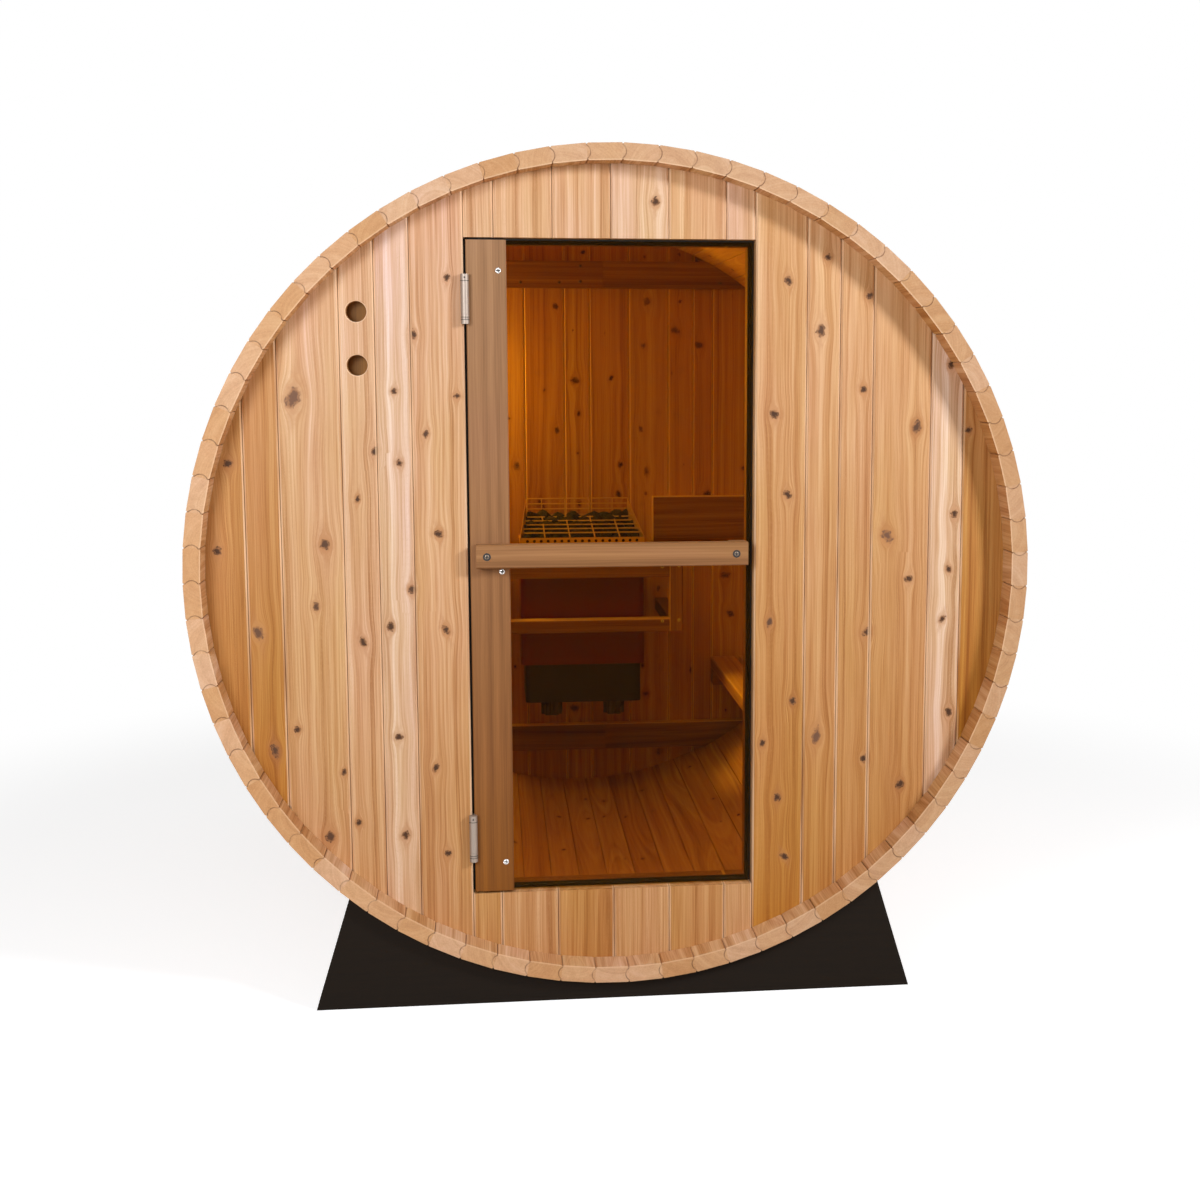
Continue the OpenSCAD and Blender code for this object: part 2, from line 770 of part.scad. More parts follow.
// Grid of rods over the stones, from the lip to the back plate, where it turns up
module stone_grid() {
    slope_len = heater_d / cos(grid_slope);
    upright_y = slope_len - rod_d;
    upright_h = back_h - bed_back_h;
    long_step = heater_w / (grid_long_rods + 1);
    color(steel) at_heater(casing_top + lip_h) translate([0, -heater_d / 2, 0])
        rotate([grid_slope, 0, 0]) translate([0, 0, rod_d / 2 + seat_gap]) {
            for (k = [1 : grid_cross_rods]) {
                share = k / (grid_cross_rods + 1);
                translate([0, slope_len * share, 0]) cross_rod(share);
            }
            for (k = [1 : grid_long_rods]) translate([k * long_step - heater_w / 2, 0, 0]) {
                rotate([-90, 0, 0]) cylinder(d = rod_d, h = slope_len);
                translate([0, upright_y, 0]) rotate([-grid_slope, 0, 0])
                    translate([0, 0, -rod_d]) cylinder(d = rod_d, h = upright_h + rod_d);
            }
            for (k = [1 : grid_back_rods])
                translate([0, upright_y, 0]) rotate([-grid_slope, 0, 0])
                    translate([0, 0, k * upright_h / grid_back_rods - rod_d / 2]) cross_rod(1);
        }
}

// Stands its children on a knob's axis, under the control box
module at_knob(side) {
    translate([heater_shift + side * knob_pitch / 2, knob_y, control_bottom]) children();
}

module control_box() {
    color(black) {
        translate([heater_shift, heater_front_y + control_d / 2, control_bottom])
            linear_extrude(height = control_h - seat_gap) rounded([control_w, control_d], casing_edge_r);
        for (side = [-1, 1])
            at_knob(side) translate([0, 0, -knob_shaft_len])
                cylinder(d = knob_shaft_d, h = knob_shaft_len + overrun);
    }
}

// Lobed knob on a shaft that points down
module knob(side) {
    core_r = knob_d / 2 * knob_core_share;
    lobe_r = knob_d / 2 * knob_lobe_share;
    color(black) at_knob(side) translate([0, 0, -knob_gap - knob_h]) difference() {
        linear_extrude(height = knob_h) {
            circle(r = core_r);
            for (k = [0 : knob_lobes - 1])
                rotate(k * 360 / knob_lobes) translate([knob_d / 2 - lobe_r, 0]) circle(r = lobe_r);
        }
        translate([0, 0, knob_h + knob_gap - knob_shaft_len - seat_gap])
            cylinder(d = knob_shaft_d + 2 * seat_gap, h = knob_shaft_len);
    }
}

module timer_knob() {
    knob(-1);
}

module thermostat_knob() {
    knob(1);
}

// Two rails that hang the heater on the rear wall
module heater_bracket() {
    rail_h = heater_h * bracket_h_share;
    color(steel) for (side = [-1, 1])
        translate([heater_shift + side * heater_w * bracket_spread_share - bracket_w / 2, heater_back_y,
                   casing_bottom + (heater_h - rail_h) / 2])
            cube([bracket_w, heater_gap, rail_h]);
}

module guard_posts() {
    color(cedar_dark) for (side = [-1, 1]) {
        left = heater_shift + side * (guard_half_w + guard_t / 2) - guard_t / 2;
        bar([left, guard_back_y - guard_t, guard_bottom], [left + guard_t, guard_back_y, guard_top], "z");
    }
}

module guard_front_rails() {
    color(cedar_dark) for (z = guard_rail_zs)
        bar([heater_shift - guard_half_w, guard_back_y - guard_t, z - guard_rail_h / 2],
            [heater_shift + guard_half_w, guard_back_y, z + guard_rail_h / 2], "x");
}

module guard_side_rails() {
    color(cedar_dark) for (side = [-1, 1], z = guard_rail_zs) {
        left = heater_shift + side * (guard_half_w + guard_t / 2) - guard_t / 2;
        bar([left, guard_back_y, z - guard_rail_h / 2],
            [left + guard_t, inside_rear_y, z + guard_rail_h / 2], "y");
    }
}

// Slats along one side of the cabin, from the door stops to the rear wall
module bench(side) {
    color(cedar_dark) for (k = [0 : slat_count - 1]) {
        near = bench_inner + k * (slat_w + slat_gap);
        left = side > 0 ? near : -near - slat_w;
        bar([left, bench_front_y, bench_under], [left + slat_w, inside_rear_y - seat_gap, bench_top], "y");
    }
}

module bench_left() {
    bench(-1);
}

module bench_right() {
    bench(1);
}

// Cleats on the end walls, under the ends of the benches
module bench_cleats() {
    cleat_len = cleat_outer - cleat_inner;
    color(cedar_dark) for (side = [-1, 1], y = [inside_front_y, inside_rear_y - cleat_t]) {
        left = side > 0 ? cleat_inner : -cleat_outer;
        bar([left, y, cleat_under], [left + cleat_len, y + cleat_t, bench_under], "x");
    }
}

staves(0);  // staves_01
staves(1);  // staves_02
staves(2);  // staves_03
staves(3);  // staves_04
staves(4);  // staves_05
staves(5);  // staves_06
staves(6);  // staves_07
staves(7);  // staves_08
staves(8);  // staves_09
staves(9);  // staves_10
staves(10);  // staves_11
staves(11);  // staves_12
staves(12);  // staves_13
staves(13);  // staves_14
staves(14);  // staves_15
front_wall_left();
vent_board();
vent_cover();
front_wall_right();
front_wall_over_door();
front_wall_under_door();
rear_wall();
rear_battens();
backrest();
front_cradle();
rear_cradle();
hoop_bands();
door_glass();
door_stile();
door_handle();
handle_spacer();
door_hinge_leaves();
frame_hinge_leaves();
door_seal();
door_stops();
heater_casing();
stone_basket();
stone_guard();
heater_stones();
stone_grid();
control_box();
timer_knob();
thermostat_knob();
heater_bracket();
guard_posts();
guard_front_rails();
guard_side_rails();
bench_left();
bench_right();
bench_cleats();
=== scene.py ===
import json
import math
import random

import bmesh
import bpy
from mathutils import Matrix, Vector


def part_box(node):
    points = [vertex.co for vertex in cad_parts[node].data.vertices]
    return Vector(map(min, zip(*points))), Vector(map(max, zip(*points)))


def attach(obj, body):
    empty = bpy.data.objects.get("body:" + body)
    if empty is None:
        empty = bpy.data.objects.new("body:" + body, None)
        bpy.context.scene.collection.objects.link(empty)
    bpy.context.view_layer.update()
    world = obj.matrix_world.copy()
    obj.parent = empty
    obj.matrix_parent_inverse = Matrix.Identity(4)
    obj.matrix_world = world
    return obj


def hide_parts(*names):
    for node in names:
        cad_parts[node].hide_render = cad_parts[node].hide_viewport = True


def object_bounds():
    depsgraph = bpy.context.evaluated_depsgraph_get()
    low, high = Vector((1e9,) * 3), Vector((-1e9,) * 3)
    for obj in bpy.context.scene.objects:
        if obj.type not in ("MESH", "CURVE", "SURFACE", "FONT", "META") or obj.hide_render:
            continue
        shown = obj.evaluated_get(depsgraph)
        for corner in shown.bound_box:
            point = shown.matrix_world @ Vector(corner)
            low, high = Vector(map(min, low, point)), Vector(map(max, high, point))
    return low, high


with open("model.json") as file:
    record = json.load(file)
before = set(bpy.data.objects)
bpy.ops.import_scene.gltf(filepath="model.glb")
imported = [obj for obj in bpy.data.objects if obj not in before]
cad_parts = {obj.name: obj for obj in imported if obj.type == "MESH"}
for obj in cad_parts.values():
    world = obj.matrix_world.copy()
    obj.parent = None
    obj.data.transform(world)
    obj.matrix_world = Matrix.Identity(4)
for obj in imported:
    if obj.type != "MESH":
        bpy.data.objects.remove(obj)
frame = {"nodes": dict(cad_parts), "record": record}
cad_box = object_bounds()
nodes = frame["nodes"]

# Sizes in metres, as the solids have them
SHELL_R = 0.9144
STAVE_T = 0.036
STAVE_COUNT = 75
STAVE_TURN = math.radians(-1.4)
INNER_R = SHELL_R - STAVE_T
BEAD_R = 0.44 * STAVE_T
BEAD_RISE = 0.2 * STAVE_T
STAVE_END = 0.880
BOARD_GAP = 0.0003
BASKET_TAPER = 0.025
SLAT_W = 0.080
SLAT_PITCH = 0.092
BATTEN_JOINT = 0.0861
BATTEN_H = 0.083
GUARD_RAIL = 0.039
HINGE_LEN = 0.105
MM = 0.001
FORE = (0, -1, 0)

# Wall boards: their bevel, the cells of their mesh, how far the vents are bored and flared, how much of the
# edges' painted highlight the flare gets, and the slant of normal from which a face counts as front or back
BOARD_BEVEL = 0.0045
CELL = 0.014
VENT_BEHIND, VENT_AHEAD = 0.03, 0.0185
FLARE = 0.0025
FLARE_EDGE = 0.4
FACING = 0.2

# Loose stones: pitch, range of radius, random shift and drop, layers, heights and the larger last row
STONE_PITCH = 0.046
STONE_SIZES = (0.024, 0.031)
STONE_SHIFT, STONE_DROP = 0.004, 0.005
STONE_LAYERS, STONE_LAYER_H = 3, 0.042
STONES_OVER_CASING, STONES_OVER_BED = 0.014, 0.013
STONE_SLOPE = 1.12
LAST_ROW = 1.3

# Screw heads: radii, and shares of the radius in the dome and the cross recess
DOOR_SCREW_R, HANDLE_SCREW_R, GUARD_SCREW_R, BATTEN_SCREW_R = 0.0066, 0.0054, 0.0045, 0.0050
DOME_SHARE, RECESS_HALF_SHARE, RECESS_REACH_SHARE, RECESS_DEPTH_SHARE = 0.42, 0.17, 0.64, 0.3
HEAD_RIM = 0.0002
# Dark rings of painted shade round the handle's screws: inner and outer radius and thickness
SHADE_RING_IN, SHADE_RING_OUT, SHADE_RING_T = 0.005, 0.0085, 0.0007

# Places of the screws: from the stile's left edge and above the axis, from the handle's ends, right of the
# guard's rails and below their tops, and along the upper batten and below its top
STILE_SCREW_X, STILE_SCREW_RISES = 0.0685, (0.653, 0.006, -0.648)
HANDLE_SCREW_LEFT, HANDLE_SCREW_RIGHT = 0.023, 0.026
GUARD_SCREWS = ((-0.0215, 0.008), (0.028, 0.006))
BATTEN_SCREWS = ((-0.170, 0.066), (-0.050, 0.066), (0.016, 0.063), (0.016, 0.015), (0.455, 0.066))

# Hinge knuckles: shares of their length at which grooves and the tension hole lie, and their sizes
GROOVE_SHARES, HOLE_SHARE = (0.135, 0.865, 0.915), 0.07
GROOVE_HALF, GROOVE_PROUD = 0.0007, 0.0002
HOLE_R = 0.002

# Scattered knots: pitch along the grain, reach across it and largest radius
STAVE_KNOTS = (0.31, 0.05, 0.010)
REAR_KNOTS = (0.13, 0.08, 0.014)

# Stage: half the floor's width, where it fades to white, its glow, and the light of the surroundings
FLOOR_HALF = 30.0
FLOOR_FADE = (1.7, 3.0)
FLOOR_GLOW = 0.68
SKY_LIGHT = 0.26

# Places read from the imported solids
rear_low, rear_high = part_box("rear_wall")
AXIS_Z = (rear_low.z + rear_high.z) / 2
WALL_R = (rear_high.z - rear_low.z) / 2 - 0.0005
over_low, over_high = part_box("front_wall_over_door")
under_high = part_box("front_wall_under_door")[1]
DOOR_LEFT, DOOR_RIGHT = over_low.x, over_high.x
DOOR_MID = (DOOR_LEFT + DOOR_RIGHT) / 2
DOOR_TOP, DOOR_BOTTOM = over_low.z, under_high.z
WALL_FRONT, WALL_BACK = over_low.y, over_high.y

# Seams of the end wall boards
SIDE_SHARES = (0.20, 0.33, 0.46, 0.69, 0.82)
REAR_SHARES = (-0.88, -0.74, -0.60, -0.46, -0.32, -0.18, -0.04, 0.05,
               0.19, 0.33, 0.42, 0.49, 0.63, 0.77, 0.90)
MIDDLE_BOARD = 0.1255
VENT_BOARD = 2

# Knots of the front wall: right of the axis, above the axis and radius, in millimetres
KNOTS = (
    (-823, 245, 11), (-852, 58, 10), (-772, -119, 14), (-744, -380, 13), (-683, 384, 20), (-626, 70, 13),
    (-648, -64, 9), (-632, -578, 13), (-696, -335, 8), (-598, -433, 7), (-554, 168, 7), (-550, -144, 10),
    (-569, -548, 8), (-516, 270, 9), (-464, 245, 8), (-472, 398, 7), (-490, -112, 10), (-443, -30, 10),
    (-478, -357, 9), (-467, -579, 10), (-428, 517, 9), (-407, 306, 8), (-383, 91, 10), (-371, -120, 10),
    (-399, -429, 9), (-375, -624, 9), (-356, 637, 8), (-339, 387, 7), (381, 635, 10), (352, 346, 11),
    (383, 168, 10), (345, -117, 10), (399, -297, 9), (330, -393, 9), (366, -519, 10), (383, -658, 9),
    (454, 527, 13), (468, 686, 8), (454, -379, 15), (551, 400, 9), (562, 604, 9), (566, -144, 12),
    (564, -435, 10), (672, 317, 13), (610, 74, 15), (661, -23, 10), (650, -497, 11), (749, 455, 10),
    (763, 122, 10), (753, -3, 8), (740, -116, 9), (760, -331, 10), (791, 309, 9), (90, 800, 10),
)

# How pale or dark each board is, counted outwards from the doorway, or left to right
LEFT_TONES = (0.0, 1.7, 0.4, 0.2, -1.2, -1.2)
# The outermost right board is darker partly as painted shade from the rim, partly by its own tone
RIGHT_TONES = (-0.9, -0.7, -0.6, -0.6, 1.8, -1.4)
OVER_TONES = (0.1, -0.3, -0.2, 0.8, -0.5, 0.5)
UNDER_TONES = (-0.2, 0.1, -0.4, 0.3, -0.1, 0.4)
REAR_TONES = (0.0, -0.6, 0.4, -0.2, 0.6)
# Tone of painted shade inside a vent's bore
BORE_SHADE_TONE = -1.7


class Shader:
    """One material made of nodes. Values passed in are sockets, numbers or colours."""

    def __init__(self, name):
        self.material = bpy.data.materials.new(name)
        self.material.use_nodes = True
        self.tree = self.material.node_tree
        self.tree.nodes.clear()

    def node(self, kind, inputs=(), **settings):
        made = self.tree.nodes.new("ShaderNode" + kind)
        for key, value in settings.items():
            setattr(made, key, value)
        for key, value in dict(inputs).items():
            self.put(made.inputs[key], value)
        return made

    def put(self, socket, value):
        if isinstance(value, bpy.types.NodeSocket):
            self.tree.links.new(value, socket)
        else:
            socket.default_value = value

    def math(self, operation, *values, clamp=False):
        return self.node("Math", enumerate(values), operation=operation, use_clamp=clamp).outputs[0]

    def add(self, *values):
        total = values[0]
        for value in values[1:]:
            total = self.math("ADD", total, value)
        return total

    def sub(self, a, b):
        return self.math("SUBTRACT", a, b)

    def mul(self, a, b):
        return self.math("MULTIPLY", a, b)

    def length(self, a, b):
        return self.math("SQRT", self.add(self.mul(a, a), self.mul(b, b)))

    def step(self, value, low, high):
        """Smooth rise from 0 at low to 1 at high."""
        kind = {"Value": value, "From Min": low, "From Max": high, "To Min": 0.0, "To Max": 1.0}
        return self.node("MapRange", kind, interpolation_type="SMOOTHSTEP").outputs[0]

    def fall(self, value, low, high):
        return self.sub(1.0, self.step(value, low, high))

    def mix(self, factor, a, b, blend="MIX"):
        made = self.node("Mix", data_type="RGBA", blend_type=blend)
        self.put(made.inputs[0], factor)
        self.put(made.inputs[6], a)
        self.put(made.inputs[7], b)
        return made.outputs[2]

    def tint(self, colour, shares):
        """Colour with its red, green and blue multiplied."""
        return self.node("VectorMath", {0: colour, 1: self.join(*shares)}, operation="MULTIPLY").outputs[0]

    def split(self, vector):
        return self.node("SeparateXYZ", {0: vector}).outputs[:3]

    def join(self, x=0.0, y=0.0, z=0.0):
        return self.node("CombineXYZ", {0: x, 1: y, 2: z}).outputs[0]

    def place(self):
        """Coordinates in the part's own frame."""
        return self.split(self.node("TexCoord").outputs["Object"])

    def noise(self, vector, scale=1.0, detail=2.0, roughness=0.5):
        inputs = {"Vector": vector, "Scale": scale, "Detail": detail, "Roughness": roughness}
        return self.node("TexNoise", inputs).outputs["Fac"]

    def noise_line(self, value, detail=2.0, roughness=0.5):
        inputs = {"W": value, "Scale": 1.0, "Detail": detail, "Roughness": roughness}
        return self.node("TexNoise", inputs, noise_dimensions="1D").outputs["Fac"]

    def scatter(self, vector):
        """Three random numbers for each whole-numbered place."""
        made = self.node("TexWhiteNoise", {"Vector": vector}, noise_dimensions="3D")
        return self.split(made.outputs["Color"])

    def attribute(self, name):
        return self.node("Attribute", attribute_name=name, attribute_type="GEOMETRY").outputs["Vector"]

    def ramp(self, value, stops):
        made = self.node("ValToRGB", {0: value})
        elements = made.color_ramp.elements
        while len(elements) < len(stops):
            elements.new(0.5)
        for element, (place, colour) in zip(elements, stops):
            element.position = place
            element.color = rgba(colour)
        return made.outputs[0]

    def bump(self, height, distance, strength=1.0):
        inputs = {"Height": height, "Distance": distance, "Strength": strength}
        return self.node("Bump", inputs).outputs[0]

    def finish(self, shader):
        output = self.node("OutputMaterial")
        self.tree.links.new(shader.outputs[0], output.inputs[0])
        return self.material

    def surface(self, **inputs):
        """Principled surface; keys are input names with _ for spaces."""
        named = {key.replace("_", " "): value for key, value in inputs.items()}
        return self.finish(self.node("BsdfPrincipled", named))


def rgba(colour):
    return (*colour, 1.0)


# Linear colours of planed cedar, from dark late wood to pale sapwood
CEDAR = ((0.385, 0.170, 0.058), (0.54, 0.280, 0.122), (0.64, 0.375, 0.192), (0.735, 0.480, 0.284))
TRIM = ((0.170, 0.074, 0.031), (0.275, 0.130, 0.057), (0.345, 0.172, 0.081), (0.410, 0.220, 0.112))
DOOR_TRIM = ((0.214, 0.095, 0.036), (0.280, 0.130, 0.052), (0.328, 0.158, 0.066), (0.388, 0.194, 0.086))
# Painted light on the door's stile and handle: tone at the height of the axis and its rise with height
DOOR_PAINTED_LIGHT = (-0.36, 2.0)
# Cedar of the vent cover, painted darker as the shade behind the vent bores
VENT_SHADED_TRIM = ((0.15, 0.055, 0.006), (0.21, 0.085, 0.010), (0.25, 0.105, 0.013), (0.30, 0.130, 0.018))
# Painted highlight of lit bevels and arrises, and painted shade in the gaps between boards
PAINTED_HIGHLIGHT, PAINTED_SEAM_SHADE = (0.92, 0.66, 0.43), (0.20, 0.085, 0.033)
KNOT_DARK, KNOT_MID, KNOT_HALO = (0.040, 0.016, 0.007), (0.24, 0.105, 0.045), (0.42, 0.180, 0.068)
KNOT_SOFT = (0.15, 0.075, 0.046)
NO_KNOT = 0.05 * MM

# Shares of narrow rings, broad rings, fibres and bands in the figure, its offset and where its colours lie
FIGURE_SHARES, FIGURE_OFFSET = (0.36, 0.46, 0.36, 0.34), -0.26
FIGURE_STOPS = (0.30, 0.44, 0.56, 0.70)

# How much a blush, a positive tone and a negative tone change red, green and blue
BLUSH_SHARES = (0.05, -0.05, 0.50)
PALE_SHARES, DARK_SHARES = (0.06, 0.16, 0.42), (0.16, 0.28, 0.50)

# Size of a trim's cell along an axis on which the trim isn't divided
WHOLE = 9.0


def cedar_figure(sh, across, depth, along, rand, shades, knot=None, sway=1.0):
    """Colour and height of wood sawn from a log that runs along the grain, with its heart moved by rand."""
    first, second, third = rand
    if knot:
        near_x, near_z, radius = knot[:3]
        squeezed = sh.mul(near_z, 0.6)
        spread = sh.add(sh.mul(near_x, near_x), sh.mul(squeezed, squeezed))
        ratio = sh.math("DIVIDE", spread, sh.mul(radius, radius))
        push = sh.math("MINIMUM", sh.math("DIVIDE", 1.0, ratio), 1.0)
        across = sh.sub(across, sh.mul(near_x, sh.mul(push, sh.fall(ratio, 8.0, 26.0))))
    drift = sh.mul(third, 40.0)
    wander = sh.noise(sh.join(drift, sh.mul(along, 1.1), 0.0), detail=1.0)
    ripple = sh.noise(sh.join(sh.mul(across, 9.0), sh.mul(along, 2.6), drift), detail=2.0)
    heart_across = sh.mul(sh.sub(first, 0.5), 0.16)
    heart_depth = sh.add(0.012, sh.mul(second, 0.06))
    side = sh.add(sh.sub(across, heart_across), sh.mul(sh.sub(ripple, 0.5), 0.016 * sway))
    down = sh.add(depth, heart_depth, sh.mul(sh.sub(wander, 0.5), 0.09 * sway))
    ring = sh.length(side, down)
    rings = sh.noise_line(sh.add(sh.mul(ring, 210.0), sh.mul(third, 90.0)), detail=2.5, roughness=0.62)
    broad = sh.noise_line(sh.add(sh.mul(ring, 42.0), sh.mul(second, 70.0)), detail=1.5)
    fibre = sh.noise(sh.join(sh.mul(across, 420.0), sh.mul(depth, 420.0), sh.mul(along, 6.0)), detail=2.0)
    bands = sh.noise(sh.join(sh.mul(across, 70.0), sh.mul(depth, 70.0), sh.add(sh.mul(along, 1.6), drift)))
    parts = [sh.mul(part, share) for part, share in zip((rings, broad, fibre, bands), FIGURE_SHARES)]
    colour = sh.ramp(sh.add(*parts, FIGURE_OFFSET), list(zip(FIGURE_STOPS, shades)))
    blush = sh.sub(sh.noise(sh.join(sh.mul(across, 11.0), drift, sh.mul(along, 2.0))), 0.5)
    colour = sh.tint(colour, [sh.add(1.0, sh.mul(blush, share)) for share in BLUSH_SHARES])
    return colour, sh.add(sh.mul(rings, 0.6), sh.mul(fibre, 0.4))


def add_knot(sh, colour, knot, grain):
    """Colour with a knot in its own outline: small ones have a dark core, big ones are soft and brown."""
    near_x, near_z, radius, seed = knot
    side, rise = sh.math("DIVIDE", near_x, radius), sh.math("DIVIDE", near_z, radius)
    own = sh.node("TexNoise", {"Vector": seed, "Scale": 1.0, "Detail": 0.0}).outputs["Color"]
    stretch, lean, fade = [sh.mul(sh.sub(part, 0.5), 2.4) for part in sh.split(own)]
    spot = sh.node("VectorMath", {0: sh.join(side, rise, 0.0), 1: seed}, operation="ADD").outputs[0]
    uneven = {"Vector": spot, "Scale": 1.1, "Detail": 2.5, "Roughness": 0.6}
    warp_x, warp_z, patch = sh.split(sh.node("TexNoise", uneven).outputs["Color"])
    leant = sh.add(side, sh.mul(rise, sh.mul(lean, 0.5)))
    wide = sh.add(sh.mul(leant, sh.add(1.05, sh.mul(stretch, 0.4))), sh.mul(sh.sub(warp_x, 0.5), 1.3))
    tall = sh.add(sh.mul(rise, sh.sub(0.9, sh.mul(stretch, 0.35))), sh.mul(sh.sub(warp_z, 0.5), 1.3))
    away = sh.length(wide, tall)
    soft = sh.math("MAXIMUM", sh.step(radius, 0.0115, 0.0155), sh.mul(sh.step(fade, 0.35, 0.65), 0.5))
    streak_x = sh.fall(sh.math("ABSOLUTE", wide), 0.1, 0.9)
    streak = sh.mul(streak_x, sh.fall(sh.math("ABSOLUTE", tall), 0.8, 4.2))
    halo = sh.math("MAXIMUM", sh.mul(sh.fall(away, 0.6, 2.2), 0.5), sh.mul(streak, sh.mul(grain, 0.8)))
    rings = sh.step(sh.math("SINE", sh.mul(sh.add(away, patch), 9.0)), -0.8, 1.0)
    body = sh.mix(rings, rgba(KNOT_MID), rgba(KNOT_HALO))
    colour = sh.mix(halo, colour, rgba(KNOT_HALO))
    colour = sh.mix(sh.mul(sh.fall(away, 0.6, 1.0), sh.sub(0.85, sh.mul(soft, 0.25))), colour, body)
    crack = sh.mul(sh.fall(sh.math("ABSOLUTE", sh.sub(away, 0.8)), 0.04, 0.18), sh.step(patch, 0.46, 0.60))
    core = sh.fall(away, 0.42, 0.72)
    dark = sh.math("MAXIMUM", sh.mul(core, sh.add(0.72, sh.mul(patch, 0.6))), sh.mul(crack, 0.9), clamp=True)
    return sh.mix(sh.mul(dark, 0.92), colour, sh.mix(soft, rgba(KNOT_DARK), rgba(KNOT_SOFT)))


def toned(sh, colour, tone):
    """Colour made paler and cooler by a positive tone, darker and warmer by a negative one."""
    pale = sh.math("MAXIMUM", tone, 0.0)
    dark = sh.math("MAXIMUM", sh.mul(tone, -1.0), 0.0)
    return sh.tint(colour, [sh.add(1.0, sh.mul(pale, up), sh.mul(dark, -down))
                            for up, down in zip(PALE_SHARES, DARK_SHARES)])


def scattered_knot(sh, cell_x, along, across, pitch, reach, most):
    """Offsets from the knot of this stretch of a stave or board, its radius and its seed. A stretch without a
    knot has one too small to see."""
    cell = sh.math("FLOOR", sh.math("DIVIDE", along, pitch))
    first, second, third = sh.scatter(sh.join(cell_x, cell, 7.0))
    middle = sh.mul(sh.add(cell, 0.25, sh.mul(first, 0.5)), pitch)
    size = sh.mul(sh.math("MAXIMUM", sh.sub(third, 0.3), 0.0), most / 0.7)
    seed = sh.join(sh.mul(first, 40.0), sh.mul(second, 40.0), sh.mul(third, 40.0))
    return (sh.sub(across, sh.mul(sh.sub(second, 0.5), reach)), sh.sub(along, middle),
            sh.math("MAXIMUM", size, NO_KNOT), seed)


def wood_surface(sh, colour, height, roughness=0.62):
    grain = sh.bump(height, 0.0006, 0.5)
    return sh.surface(Base_Color=colour, Roughness=roughness, Specular_IOR_Level=0.28, Normal=grain)


def board_material(name, face, front_painted_light):
    """Cedar boards that stand upright behind a face; their meshes carry board and knot. Front ones carry the
    places of their knots and have painted light, paler and cooler at the top and darker and warmer near the
    ground. The bevels by the seams get a painted highlight and the gaps painted shade, patchy on the front."""
    sh = Shader(name)
    x, y, z = sh.place()
    first, tone, edge = sh.split(sh.attribute("board"))
    number = sh.mul(first, 97.0)
    rand = sh.scatter(sh.join(number, 3.0, 1.0))
    near_x, near_z, radius = sh.split(sh.attribute("knot"))
    if front_painted_light:
        # Painted light: paler and cooler towards the top, darker and warmer towards the ground
        tone = sh.add(tone, sh.sub(z, AXIS_Z))
        seed = sh.join(sh.mul(sh.sub(x, near_x), 37.0), sh.mul(sh.sub(z, near_z), 37.0), 0.0)
        knot = (near_x, near_z, radius, seed)
    else:
        knot = scattered_knot(sh, number, z, near_x, *REAR_KNOTS)
    colour, height = cedar_figure(sh, x, sh.sub(y, face), z, rand, CEDAR, knot)
    colour = toned(sh, colour, tone)
    colour = add_knot(sh, colour, knot, height)
    # Painted highlight on the bevels by the seams and painted shade in the gaps between boards; on the front
    # ones both come and go along the height
    seam_patches = sh.noise(sh.join(number, sh.mul(z, 3.5), sh.mul(x, 9.0)), detail=2.0)
    shown = sh.step(seam_patches, 0.25, 0.70) if front_painted_light else 1.2
    pale = sh.mul(sh.step(edge, 0.05, 0.30), sh.mul(shown, 0.82))
    dark = sh.mul(sh.step(edge, 0.72, 0.86), sh.sub(0.90, sh.mul(seam_patches, 0.5)))
    colour = sh.mix(pale, colour, rgba(PAINTED_HIGHLIGHT))
    colour = sh.mix(dark, colour, rgba(PAINTED_SEAM_SHADE))
    return wood_surface(sh, colour, height)


